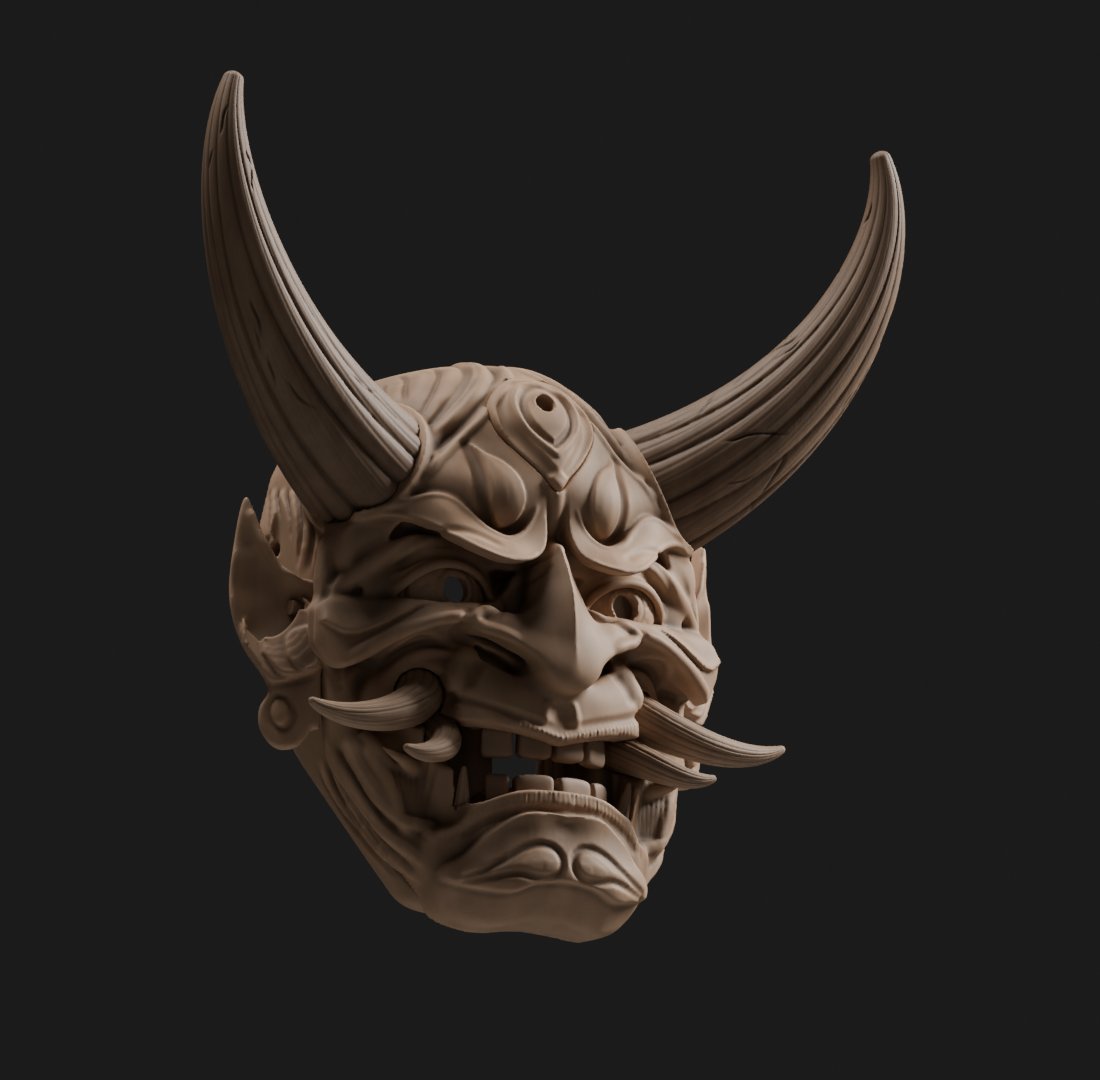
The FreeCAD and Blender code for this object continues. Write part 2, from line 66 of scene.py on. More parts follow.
# The carved face is modelled as clay: a signed distance on a grid, negative inside, in millimetres,
# for the viewer's right half only. It is mirrored when it becomes a mesh. The face looks along -Y.

STEP = 0.62  # the grid's spacing
MM = 0.001
FRONT = -110  # a depth in front of everything
OUTSIDE = 99  # a distance for cells that nothing reaches


def cad(part, axis, end):
    """Where a CAD part begins (end 0) or ends (end 1) along an axis, in millimetres."""
    return round(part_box(part)[end][axis] / MM, 2)


# ---------------------------------------------------------------- curves


def smooth_path(points, spacing=1.5):
    """A Catmull-Rom curve through the points, divided evenly."""
    p = np.array(points, float)
    p = np.vstack([2 * p[0] - p[1], p, 2 * p[-1] - p[-2]])
    out = []
    for a, b, c, d in zip(p[:-3], p[1:-2], p[2:-1], p[3:]):
        count = max(int(np.linalg.norm(c - b) / spacing), 1)
        t = (np.arange(count) / count)[:, None]
        out.append(0.5 * (2 * b + (c - a) * t + (2 * a - 5 * b + 4 * c - d) * t**2
                          + (3 * b - a - 3 * c + d) * t**3))
    return np.vstack(out + [p[-2:-1]])


def closed_path(outline):
    return smooth_path(list(outline) + [outline[0]])[:-1]


def along(values, count):
    """Values given at even places along a path, read at each of its points."""
    values = np.atleast_1d(np.array(values, float))
    return np.interp(np.linspace(0, 1, count), np.linspace(0, 1, len(values)), values)


def ease(x):
    x = np.clip(x, 0, 1)
    return x * x * (3 - 2 * x)


def norm(*parts):
    """The length of a vector, from its parts."""
    return np.sqrt(sum(part * part for part in parts))


def blend_min(a, b, width):
    if width <= 0:
        return np.minimum(a, b)
    h = np.maximum(width - np.abs(a - b), 0) / width
    return np.minimum(a, b) - h * h * width / 4


def blend_max(a, b, width):
    return -blend_min(-a, -b, width)


def common(*fields):
    """What is inside all of these."""
    return reduce(np.maximum, fields)


# ---------------------------------------------------------------- clay


class Clay:
    def __init__(self, low, high, step=STEP):
        self.low = np.array(low, float)
        self.step = step
        self.axes = [np.arange(a, b + step / 2, step, dtype=np.float32) for a, b in zip(low, high)]
        self.phi = np.full([len(a) for a in self.axes], OUTSIDE, np.float32)

    def grid(self):
        """The whole grid's coordinates, ready to broadcast."""
        x, y, z = self.axes
        return x[:, None, None], y[None, :, None], z[None, None, :]

    def window(self, low, high):
        """The grid's part between two corners: its slices, and its coordinates ready to broadcast."""
        cut = []
        for axis, a, b in zip(self.axes, low, high):
            i, j = np.searchsorted(axis, [a, b])
            cut.append(slice(int(i), int(j)))
        x, y, z = (axis[c] for axis, c in zip(self.axes, cut))
        return tuple(cut), x[:, None, None], y[None, :, None], z[None, None, :]

    def settle(self, near=5, far=8):
        """Makes the field a distance again near the surface, with no change from far on."""
        held = np.clip(self.phi, -far - 2, far + 2)
        slope = np.clip(norm(*np.gradient(held, self.step)), 0.4, 3)
        share = ease((far - np.abs(held)) / (far - near))
        self.phi = (self.phi * (1 + (1 / slope - 1) * share)).astype(np.float32)

    def merge(self, cut, shape, blend, carve):
        old = self.phi[cut]
        self.phi[cut] = blend_max(old, -shape, blend) if carve else blend_min(old, shape, blend)

    def blob(self, centre, radii, blend=4.0, carve=False):
        """An ellipsoid."""
        centre, radii = np.array(centre, float), np.array(radii, float)
        reach = radii.max() + blend + 2
        cut, *place = self.window(centre - reach, centre + reach)
        place = [p - c for p, c in zip(place, centre)]
        k0 = norm(*(p / r for p, r in zip(place, radii)))
        k1 = norm(*(p / r**2 for p, r in zip(place, radii)))
        self.merge(cut, k0 * (k0 - 1) / np.maximum(k1, 1e-4), blend, carve)

    def tube(self, points, radii, blend=3.0, carve=False):
        """A rounded rope of changing radius."""
        path = smooth_path(points, 2.5)
        r = along(radii, len(path))
        room = blend + 6
        reach = r.max() + room
        cut, x, y, z = self.window(path.min(0) - reach, path.max(0) + reach)
        shape = np.full([x.size, y.size, z.size], OUTSIDE, np.float32)
        for a, b, ra, rb in zip(path[:-1], path[1:], r[:-1], r[1:]):
            near = max(ra, rb) + room
            part, px, py, pz = self.window(np.minimum(a, b) - near, np.maximum(a, b) + near)
            local = tuple(slice(p.start - c.start, p.stop - c.start) for p, c in zip(part, cut))
            d = b - a
            qx, qy, qz = px - a[0], py - a[1], pz - a[2]
            t = np.clip((qx * d[0] + qy * d[1] + qz * d[2]) / (d @ d), 0, 1)
            gap = norm(qx - t * d[0], qy - t * d[1], qz - t * d[2])
            shape[local] = np.minimum(shape[local], gap - (ra + (rb - ra) * t))
        self.merge(cut, shape, blend, carve)

    def drape(self, flat_points):
        """Puts points given as (x, z) on the front of the clay."""
        out = []
        for x, z in flat_points:
            fx = np.clip((abs(x) - self.low[0]) / self.step, 0, self.phi.shape[0] - 1.001)
            fz = np.clip((z - self.low[2]) / self.step, 0, self.phi.shape[2] - 1.001)
            i, k, u, w = int(fx), int(fz), fx % 1, fz % 1
            column = ((1 - u) * (1 - w) * self.phi[i, :, k] + u * (1 - w) * self.phi[i + 1, :, k]
                      + (1 - u) * w * self.phi[i, :, k + 1] + u * w * self.phi[i + 1, :, k + 1])
            inside = np.flatnonzero(column < 0)
            j = inside[0] if len(inside) else len(column) - 1
            before, after = column[max(j - 1, 0)], column[j]
            share = before / (before - after) if before > 0 > after else 0
            out.append((x, self.axes[1][max(j - 1, 0)] + share * self.step, z))
        return np.array(out)

    def drape_side(self, side_points):
        """Puts points given as (y, z) on the side of the clay."""
        out = []
        for y, z in side_points:
            j = int(np.clip(round((y - self.low[1]) / self.step), 0, self.phi.shape[1] - 1))
            k = int(np.clip(round((z - self.low[2]) / self.step), 0, self.phi.shape[2] - 1))
            inside = np.flatnonzero(self.phi[:, j, k] < 0)
            i = inside[-1] if len(inside) else 0
            out.append((self.axes[0][i] + self.step / 2, y, z))
        return np.array(out)

    def stroke(self, path, width, height, ends=(0.12, 0.12), kind="ridge"):
        """Raises or sinks the surface along a 3-D path, fading out over a share of it at each end.

        A ridge is a rounded line and a sharp one has an edge. A ledge is raised on the left of the
        path's direction, as seen from the front, with an edge on the path and a long fall away from it.
        """
        widths, heights = along(width, len(path)), along(height, len(path))
        reach = widths.max() + 1
        cut, x, y, z = self.window(path.min(0) - reach, path.max(0) + reach)
        block = self.phi[cut]
        i, j, k = np.nonzero(np.abs(block) < np.abs(heights).max() + 3)
        if not len(i):
            return
        spots = np.stack([x.ravel()[i], y.ravel()[j], z.ravel()[k]], 1)
        distance, share, left = nearest_on(path, spots)
        w, h = (np.interp(share, np.linspace(0, 1, len(path)), v) for v in (widths, heights))
        fade = 1.0
        for far, end in zip((share, 1 - share), ends):
            if end > 0:
                fade = fade * ease(far / end)
        if kind == "ridge":
            amount = np.clip(1 - (distance / w) ** 2, 0, 1) ** 2
        elif kind == "sharp":
            amount = np.clip(1 - distance / w, 0, 1) ** 1.6
        else:
            signed = np.where(left, distance, -distance)
            amount = ease(signed / 1.3 + 0.5) * np.clip(1 - signed / w, 0, 1) ** 1.4
        block[i, j, k] -= (h * fade * amount).astype(np.float32)

    def ridge(self, flat_points, *how, **kind):
        self.stroke(self.drape(smooth_path(flat_points)), *how, **kind)

    def side_ridge(self, side_points, *how, **kind):
        self.stroke(self.drape_side(smooth_path(side_points)), *how, **kind)

    def over(self, outline, pad, back):
        """The window over an outline given as (x, z), down to a depth, and the distance into the outline."""
        shape = closed_path(outline)
        low, high = shape.min(0) - pad, shape.max(0) + pad
        cut, x, y, z = self.window((low[0], FRONT, low[1]), (high[0], back, high[1]))
        return cut, x, y, z, outline_distance(shape, x.ravel(), z.ravel())[:, None, :]

    def plate(self, outline, height, edge=1.2, dome=0.0):
        """Raises the front of the clay inside an outline."""
        cut, _, y, _, gap = self.over(outline, edge, 0)
        rise = ease(gap / edge + 0.5) + dome / height * ease(gap / 5)
        block = self.phi[cut]
        front = np.argmax(block < 0, axis=1)[:, None, :] * self.step + float(y.min())
        block -= (height * rise * ease(1.4 - np.abs(y - front) / 7)).astype(np.float32)

    def pit(self, outline, floor, blend):
        """Sinks the inside of an outline down to a floor at y = floor, a number or a function of x, z."""
        pad = blend + 2
        cut, x, y, z, gap = self.over(outline, pad, (floor if np.isscalar(floor) else 0) + pad)
        level = floor if np.isscalar(floor) else floor(x, z)
        self.merge(cut, blend_max(0 * y - gap, y - level + 0 * x, 3.0), blend, True)

    def sheet(self, outline, places, back, edge, blend):
        """Adds a plate: its outline as (x, z), and its front through places given as (x, z, y)."""
        front = smooth_front(places)
        pad = blend + 6
        cut, x, y, z, gap = self.over(outline, pad, max(p[2] for p in places) + back + pad)
        level = front(x, z)
        lean = norm(1, *np.gradient(level[:, 0, :], self.step))[:, None, :]
        body = blend_max((level - y) / lean, 0 * y - gap, edge)
        self.merge(cut, np.maximum(body, (y - level - back) / lean), blend, False)

    def rod(self, start, along, length, radius, blend=0.0, carve=False):
        """A flat-ended cylinder."""
        start, along = np.array(start, float), np.array(along, float)
        along = along / np.linalg.norm(along)
        end = start + along * length
        reach = radius + blend + 4
        cut, x, y, z = self.window(np.minimum(start, end) - reach, np.maximum(start, end) + reach)
        x, y, z = x - start[0], y - start[1], z - start[2]
        far = x * along[0] + y * along[1] + z * along[2]
        off = np.sqrt(np.maximum(x * x + y * y + z * z - far * far, 0))
        self.merge(cut, common(off - radius, -far, far - length), blend, carve)

    def soften(self, centre, radii, width):
        """Rounds the edges inside an ellipsoid, fading out towards its skin."""
        centre, radii = np.array(centre, float), np.array(radii, float)
        cut, *place = self.window(centre - radii, centre + radii)
        far = sum(((p - c) / r) ** 2 for p, c, r in zip(place, centre, radii))
        old = self.phi[cut]
        ahead = old if cut[0].start else np.concatenate([old[4:0:-1], old], axis=0)
        rounded = smear(np.clip(ahead, -12, 12), width / self.step)[-old.shape[0]:]
        self.phi[cut] = (old + (rounded - old) * ease(2 - 2 * far)).astype(np.float32)

    def surface(self, mirrored=True):
        """The surface as places in millimetres and quads, and how hollow it is at each place."""
        phi, low = self.phi, self.low.copy()
        if mirrored:
            phi = np.concatenate([phi[:0:-1], phi], axis=0)
            low[0] -= self.step * (self.phi.shape[0] - 1)
        band = 3.0
        grid = openvdb.FloatGrid(background=band)
        grid.copyFromArray(np.ascontiguousarray(np.clip(phi / self.step, -band, band).astype(np.float32)))
        cells, quads = grid.convertToQuads(0.0)
        # how hollow each place is, from the field averaged round it; the wood paints shade into hollows and
        # a highlight onto edges from it
        held = np.clip(phi, -4, 4)
        fine, broad = (sample(smear(held, width / self.step), cells) for width in (2.2, 5.0))
        return cells * self.step + low, quads[:, ::-1].tolist(), fine * 0.5 + broad * 0.35


def smear(field, width):
    """A field averaged over a cube of this half width, in cells."""
    n = max(int(round(width)), 1)
    for axis in range(3):
        padded = np.pad(field, [(n + 1, n) if a == axis else (0, 0) for a in range(3)], "edge")
        total = np.cumsum(padded, axis=axis, dtype=np.float64)
        ahead = [slice(None)] * 3
        behind = [slice(None)] * 3
        ahead[axis], behind[axis] = slice(2 * n + 1, None), slice(None, -2 * n - 1)
        field = ((total[tuple(ahead)] - total[tuple(behind)]) / (2 * n + 1)).astype(np.float32)
    return field


def sample(field, cells):
    """A field read at places given in cells, between the cells too."""
    i = [np.clip(cells[:, a].astype(int), 0, field.shape[a] - 2) for a in range(3)]
    u, v, w = (np.clip(cells[:, a] - i[a], 0, 1) for a in range(3))
    total = 0
    for a, p in ((0, 1 - u), (1, u)):
        for b, q in ((0, 1 - v), (1, v)):
            for c, r in ((0, 1 - w), (1, w)):
                total = total + p * q * r * field[i[0] + a, i[1] + b, i[2] + c]
    return total


def smooth_front(places):
    """A smooth surface y(x, z) through the places (x, z, y): a thin plate bent as little as possible."""
    p = np.array(places, float)
    n = len(p)

    def bend(dx, dz):
        r2 = dx * dx + dz * dz
        return r2 * np.log(r2 + 1e-6)

    system = np.zeros((n + 3, n + 3))
    system[:n, :n] = bend(p[:, None, 0] - p[None, :, 0], p[:, None, 1] - p[None, :, 1])
    system[:n, n], system[:n, n + 1], system[:n, n + 2] = 1, p[:, 0], p[:, 1]
    system[n:, :n] = system[:n, n:].T
    weights = np.linalg.solve(system, np.append(p[:, 2], [0, 0, 0]))

    def front(x, z):
        total = weights[n] + weights[n + 1] * x + weights[n + 2] * z
        for w, (px, pz, _) in zip(weights, p):
            total = total + w * bend(x - px, z - pz)
        return total

    return front


def nearest_on(path, spots):
    """For each spot: its distance to the path, how far along it is, and whether it is on the left."""
    a, d = path[:-1], path[1:] - path[:-1]
    length2 = np.maximum((d * d).sum(1), 1e-9)
    distance = np.full(len(spots), 1e9)
    share = np.zeros(len(spots))
    left = np.zeros(len(spots), bool)
    for i in range(len(a)):
        off = spots - a[i]
        t = np.clip(off @ d[i] / length2[i], 0, 1)
        rest = off - t[:, None] * d[i]
        gap = np.sqrt((rest * rest).sum(1))
        closer = gap < distance
        distance = np.where(closer, gap, distance)
        share = np.where(closer, (i + t) / len(a), share)
        left = np.where(closer, d[i][0] * rest[:, 2] - d[i][2] * rest[:, 0] > 0, left)
    return distance, share, left


def outline_distance(shape, xs, zs):
    """Signed distance to a closed outline in the (x, z) plane, positive inside."""
    px, pz = np.meshgrid(xs, zs, indexing="ij")
    gap = np.full(px.shape, 1e9)
    inside = np.zeros(px.shape, bool)
    for (x1, z1), (x2, z2) in zip(shape, np.roll(shape, -1, axis=0)):
        dx, dz = x2 - x1, z2 - z1
        t = np.clip(((px - x1) * dx + (pz - z1) * dz) / max(dx * dx + dz * dz, 1e-9), 0, 1)
        gap = np.minimum(gap, (px - x1 - t * dx) ** 2 + (pz - z1 - t * dz) ** 2)
        if z1 != z2:
            crosses = (z1 > pz) != (z2 > pz)
            inside ^= crosses & (px < x1 + (pz - z1) * dx / dz)
    return np.where(inside, np.sqrt(gap), -np.sqrt(gap))


# ---------------------------------------------------------------- the face block

# Height, half width, depth and squareness of the level outlines, from the chin to the crown.
OUTLINES = [(-114, 14, 60, 2.4), (-108, 24, 70, 2.5), (-100, 34, 76, 2.8), (-84, 43.5, 80, 3.0),
    (-66, 50, 81, 3.1), (-50, 55.5, 80, 3.1), (-36, 61, 77, 3.0), (-12, 67.5, 70, 2.5), (8, 70, 69, 2.2),
    (28, 68.5, 76, 2.0), (46, 64, 77, 2.0), (58, 57.5, 74, 2.0), (68, 49, 68, 2.0), (76, 39, 59, 2.0),
    (82, 27, 46, 2.0), (85.5, 15, 30, 2.0), (87, 4, 10, 2.0)]


def base_form(clay, inset=0.0):
    """The block's plain outer form, or the form of its hollow."""
    table = np.array(OUTLINES, float)
    z = clay.axes[2].astype(float)
    middle = (table[0, 0] + table[-1, 0]) / 2
    height = table[-1, 0] - table[0, 0]
    source = (z - middle) / (1 - 2 * inset / height) + middle
    a, b, n = (np.interp(source, table[:, 0], table[:, i]) for i in (1, 2, 3))
    kernel = np.hanning(int(9 / STEP) | 1)
    kernel /= kernel.sum()
    a, b, n = (np.convolve(np.pad(v, len(kernel) // 2, "edge"), kernel, "valid") for v in (a, b, n))
    a, b = np.maximum(a - inset, 0.5), np.maximum(b - inset, 0.5)
    x, y, _ = clay.grid()
    form = ((np.abs(x) / a) ** n + (np.maximum(-y, 0) / b) ** n) ** (1 / n) - 1
    form = np.maximum(form * np.minimum(a, b), source - table[-1, 0])
    slope = norm(*np.gradient(form.astype(np.float32), STEP))
    return (form / np.clip(slope, 0.3, 20)).astype(np.float32)


def both(points):
    """A half outline from the middle line outwards and back, completed by its mirror image."""
    return list(points) + [(-x, z) for x, z in reversed(points) if x > 0]


def evened(places):
    """Places (x, z, y) completed by their mirror images."""
    return list(places) + [(-x, z, y) for x, z, y in places if x > 0]


def shape_masses(clay):
    """The large swellings under the carved plates."""
    add = clay.tube
    # lower forehead
    add([(0, -66, 36), (18, -67, 30), (36, -60, 34), (54, -49, 30)], [12, 12, 11, 9], blend=10)
    # cheekbone
    add([(20, -70, -5), (34, -66, -8), (46, -62, -11), (58, -56, -15), (68, -50, -17)], [4, 6, 7, 8, 7.5],
        blend=6)
    # temple
    clay.blob((57.5, -49, 12), (11, 9, 15), blend=6)
    # nose
    add([(0, -74, 10), (0, -78, -10), (0, -80, -24)], [7, 10, 11], blend=5)
    # muzzle
    add([(0, -73, -38), (16, -71, -36), (30, -66, -34), (37, -61, -36)], [8, 8.5, 8, 6], blend=6)
    # chin
    clay.blob((0, -60, -92), (30, 17, 13), blend=8)
    clay.blob((19, -60, -99), (17, 13, 11.5), blend=5)
    # jaw muscle
    add([(58, -40, -30), (55, -42, -50), (47, -46, -68), (38, -52, -84)], [8, 10, 9, 7], blend=8)
    add([(52, -53, -56), (48.5, -55, -68), (44, -56, -79), (38, -59, -88)], [7, 8, 7.5, 6], blend=8)


EYE = ((cad("eye_right", 0, 0) + cad("eye_right", 0, 1)) / 2, -51.0, 0.0)
SOCKET = [(9.5, 8), (15, 8.6), (23, 7.6), (30, 9.8), (37, 14.3), (44, 19.3), (52, 22), (60, 19), (64, 12),
    (65, 4), (62, -2), (54, -4.5), (40, -6.5), (28, -6), (19, -3), (12.5, 2)]
MOUTH = both([(0, -51.5), (15, -47.7), (28, -45.5), (34, -46), (35.5, -52), (34.5, -60), (33.5, -67),
    (31, -71.5), (26.8, -71.7), (15, -67.5), (0, -66.6)])
BROW = [(65, 25.6), (58, 26.8), (50, 28.8), (45, 30.8), (40, 31.3), (35, 29.5), (30, 25), (25, 20),
    (19, 17.6), (14, 19.3), (10.5, 23.5), (8.5, 29), (5.9, 33.5), (4.2, 28), (3.8, 22), (5.5, 15), (9, 11),
    (15, 8.3), (23, 7.3), (30, 9.5), (37, 14), (44, 19.4), (52, 22.6), (58.5, 23), (64, 22.2)]
NOSE = both([(0, 15), (2.8, 13.5), (5, 5), (8.5, -3), (14, -8.4), (20, -7.8), (25.7, -6.4), (30, -8),
    (32, -12), (29, -14.8), (24, -16.5), (19, -19.5), (14, -24), (10.5, -29), (5.5, -33.5), (0, -35)])
CHEEK = [(17, -7), (25, -4.8), (35, -5), (45, -4.5), (55, -4), (64, -3), (70.5, -3.4), (75.4, -6.4),
    (76, -12), (73.5, -20), (69.5, -27), (64, -26), (53, -19), (42, -14), (32, -12.5), (24, -12)]
MUZZLE = both([(0, -28), (12, -24), (20, -17), (28, -15.5), (34, -23), (38.5, -32), (40.5, -39.8),
    (32.6, -44.3), (24, -46), (15, -47.7), (7, -50), (0, -51.5)])
CHIN = both([(0, -66.6), (8, -66.8), (15, -67.5), (21, -69), (26.8, -71.7), (31, -75), (34.9, -79.2),
    (40, -81.5), (41.5, -88), (40, -95), (35, -103), (28, -108.5), (20, -111.4), (13, -110.6), (6, -108.4),
    (0, -107.4)])
TEMPLE = [(50, 22), (58, 22.5), (66, 20), (67.5, 13), (66, 8), (61, 10.5), (55, 15)]


def shape_plates(clay):
    """The crisp plates that meet in edges: cheek, muzzle, chin, nose, temple and brow."""
    clay.sheet(CHEEK, [(18, -7, -73), (25, -4.8, -71.5), (35, -5, -70.5), (45, -4.5, -67), (55, -4, -62),
        (64, -3, -57.5), (78, -6.5, -53.5), (30, -8, -77), (40, -10, -75.5), (53, -15, -70.5),
        (62, -20.5, -66), (70, -26, -60.5), (24, -12, -78.5), (77, -14, -56.5)], back=9, edge=3, blend=3.5)
    clay.sheet(MUZZLE, evened([(0, -28, -76), (15, -23, -73), (30, -17, -69.5), (37, -24, -68),
        (0, -37, -80.4), (14, -33, -77.8), (27, -28, -74.2), (0, -45.5, -82.4), (15, -41.8, -80),
        (30, -38, -75), (39, -34.5, -70.8), (0, -51.5, -84.8), (15, -47.7, -82.8), (32.6, -44.3, -77.5),
        (41, -40.3, -73)]), back=10, edge=4.5, blend=4.5)
    clay.sheet(CHIN, evened([(0, -66.6, -84.2), (15, -67.5, -82.3), (26.8, -71.7, -78.3),
        (34.9, -79, -74.2), (39.8, -81.5, -70), (0, -73.4, -84.4), (15, -74.2, -82.4), (27, -79, -77.8),
        (35, -86, -73), (0, -77, -81.8), (18, -79, -79.8), (30, -86, -75.3), (0, -88, -83.6),
        (16, -88, -82.2), (0, -97.5, -84), (10, -98, -83.4), (20, -101, -81.3), (34, -99, -73.5),
        (0, -107.4, -73), (20, -111.4, -71.5), (33, -105, -64), (41, -92, -65)]), back=14, edge=1.6, blend=5)
    clay.sheet(TEMPLE, [(50, 22, -64), (58, 22.5, -60), (66, 20, -55.5), (67.5, 13, -54.5), (66, 8, -54),
        (60, 11, -57.5), (55, 15, -61)], back=7, edge=1.6, blend=3)
    clay.sheet(NOSE, [(0, 15, -82.5), (0, 7, -87), (0, 0, -90.1), (0, -10, -91.9), (0, -18, -92.2),
        (0, -25, -92.8), (0, -31, -92.2), (0, -35, -90), (5, 5, -82), (8.5, -3, -83.2), (14, -8.4, -82),
        (25.7, -6.4, -78.6), (32, -12, -78.5), (29, -14.8, -81), (19, -19, -86.6), (14, -24, -89.4),
        (10, -28, -91), (12, -15, -87.4), (5, -8, -88), (20, -12, -83.5), (3, -31, -91.9), (3, -26, -92.4)],
        back=10, edge=1.4, blend=1.6)
    clay.sheet(BROW, [(5.9, 33, -78.2), (8.5, 29, -79), (19, 17.6, -80.4), (30, 25, -76.2), (40, 31.3, -72),
        (52, 28.4, -67), (65, 25.6, -59), (4, 22, -80.5), (9, 11, -84.5), (15, 8.3, -87), (23, 7.3, -88),
        (30, 9.5, -86), (37, 14, -80.5), (44, 19, -74), (52, 22, -67.5), (64, 22.2, -58.5),
        (19, 13.5, -84.2), (29, 18, -80.2), (40, 25.5, -74.8)], back=5.5, edge=1.0, blend=1.6)


def socket_floor(x, z):
    return -59.5 + 0.0065 * np.clip(x - 30, 0, 60) ** 2 + 0.004 * np.clip(28 - x, 0, 30) ** 2


LIDS = [(18.5, -2), (22, 2.4), (27, 5.4), (33, 6.8), (39, 6.2), (44.5, 3.2), (49, -1), (51, -4), (42, -5.8),
    (33, -5.4), (24, -4.4)]


def shape_eyes(clay):
    """The lids: a thin skin over the eyeball with an almond opening, and the folds round it."""
    clay.blob(EYE, (21.2, 21.0, 21.2), blend=3)
    clay.blob((58, -47, 0), (8.5, 8.5, 8), blend=4)
    clay.blob((52, -50, 14), (10, 10, 8), blend=4)
    clay.pit(LIDS, -54, blend=0.6)
    # the raised rim of the upper lid, and the fold over it
    clay.ridge([(16.5, -3), (21, 3.2), (26.5, 6.8), (33, 8.4), (39.8, 7.8), (46, 4.4), (52.5, -2)],
        2.2, 1.3, (0.1, 0.1))
    clay.ridge([(15, 1), (20, 6.4), (26.5, 10), (34, 11.7), (42, 11), (49, 7.4), (57, 0)],
        2.2, -1.5, (0.1, 0.15))
    clay.tube([(36, -64, 16.5), (44, -63.5, 15.5), (53, -60, 11), (61, -55.5, 5), (68, -51, -1)],
        [1.5, 3.2, 3.8, 3.6, 2.5], blend=2)
    clay.ridge([(42, 11), (50, 6), (58, 0.5), (64, -2)], 2.0, -1.0, (0.2, 0.2))


def shape_mouth(clay):
    clay.pit(MOUTH, -58, blend=1.2)
    add, carve = clay.tube, dict(carve=True)
    # hollow under the cheekbone, and the sockets of the tusks
    add([(33, -83, -24), (42, -81, -25), (50, -76, -28), (58, -71, -34)], [4, 8, 10, 8], blend=2.5, **carve)
    add([(43, -67, -36.5), (45, -74, -40), (48, -82, -44)], [9.4, 10, 11.5], blend=2.5, **carve)
    add([(35.5, -68, -50), (37, -74, -53), (40, -82, -56)], [7.2, 7.8, 9], blend=1.5, **carve)


NOSTRIL = [(25.5, -18.6), (20, -20.2), (15, -22.8), (11.5, -26.5), (14, -28.2), (20, -25.2), (25.5, -22)]
DROP = [(27, 49.5), (23.5, 46), (19, 43.5), (15, 39), (12.8, 33), (13, 27), (16, 22), (20, 20.5), (23, 24),
    (24.6, 30), (25.2, 38), (25.8, 44)]
CHIN_DROP = [(20, -93.4), (14.5, -90), (9.5, -87.6), (5.4, -88.6), (4, -91.6), (6.4, -94.6), (11, -95),
    (16, -94)]
CHIN_PLATE = both([(0, -75), (8, -74.6), (16, -76), (25.5, -82), (32, -88.5), (38, -93), (38.5, -96.5),
    (34, -99.5), (20, -102), (10, -98.5), (0, -97.5)])


def brow_lines(clay):
    """The stem between the brows and the creases at the root of the nose."""
    clay.ridge([(0, 36), (0, 26), (0, 14)], 3.2, [2.2, 1.8, 2.2], (0, 0.05))
    clay.ridge([(2, 13), (7, 10), (13, 5)], 1.8, -1.1, kind="sharp")
    clay.ridge([(3, 9), (8, 4), (12, -2)], 1.8, -0.8, kind="sharp")
    # the fine rim that follows each edge of the brow
    clay.ridge([(7, 29.6), (9.8, 23.6), (14, 18.6), (19, 16.6), (25.6, 19), (30.6, 24), (35.4, 28.4),
        (40, 30.2), (45, 29.8), (50, 27.8), (58, 25.8), (64.6, 25)], 1.3, 0.5, (0.05, 0.05))
    clay.ridge([(9.4, 11.8), (15, 9.2), (23, 8.3), (30, 10.5), (37, 15), (44, 20.3), (52, 23.4),
        (59, 23.8)], 1.3, 0.5, (0.05, 0.05))


def forehead_lines(clay):
    """The drop over each brow, and the folds that run from the crown to the horns."""
    clay.ridge([(29, 51), (27.6, 44), (27.2, 36), (26.4, 28), (23.6, 21.4), (19.4, 19.2), (14, 21)],
        3.0, [-0.6, -1.6, -2.2, -2.3, -2.0, -1.6, -0.8], (0.03, 0.1))
    clay.plate(DROP, 1.3, edge=1.0, dome=0.4)
    fold = [(4, 84), (8, 78.2), (17, 68), (27, 57.4), (40, 45), (52, 36), (62, 28.5)]
    clay.ridge(fold, 2.2, -2.6, (0.02, 0.1))
    for side, width, height in ((-3.0, 2.0, 1.5), (2.9, 2.2, 1.7), (5.8, 1.6, -1.1)):
        clay.ridge([(x + 0.72 * side, z + 0.69 * side) for x, z in fold[:-1]],
            width, height, (0.02, 0.2))
    for number, points in enumerate([
        [(11, 84.5), (18, 77), (27, 67.5), (36, 57), (42, 51)],
        [(18, 83), (26, 75), (34, 65), (38, 58)],
        [(27, 80.5), (34, 73), (39, 65)],
        [(35, 76), (40, 70), (43, 64)],
    ]):
        clay.ridge([(x - 1.8, z - 0.9) for x, z in points], 3.6, 0.7 - 0.1 * number, (0.1, 0.4))
        clay.ridge(points, 1.5, -1.1, (0.1, 0.4))
    # the skin drawn up beside the horn's root
    clay.ridge([(38, 52), (40, 44), (44.5, 37), (51, 31.5)], 1.8, -0.9, (0.3, 0.1))
    clay.ridge([(34, 59), (36, 50), (39.5, 42), (45, 35.5)], 2.2, 0.9, (0.3, 0.15))


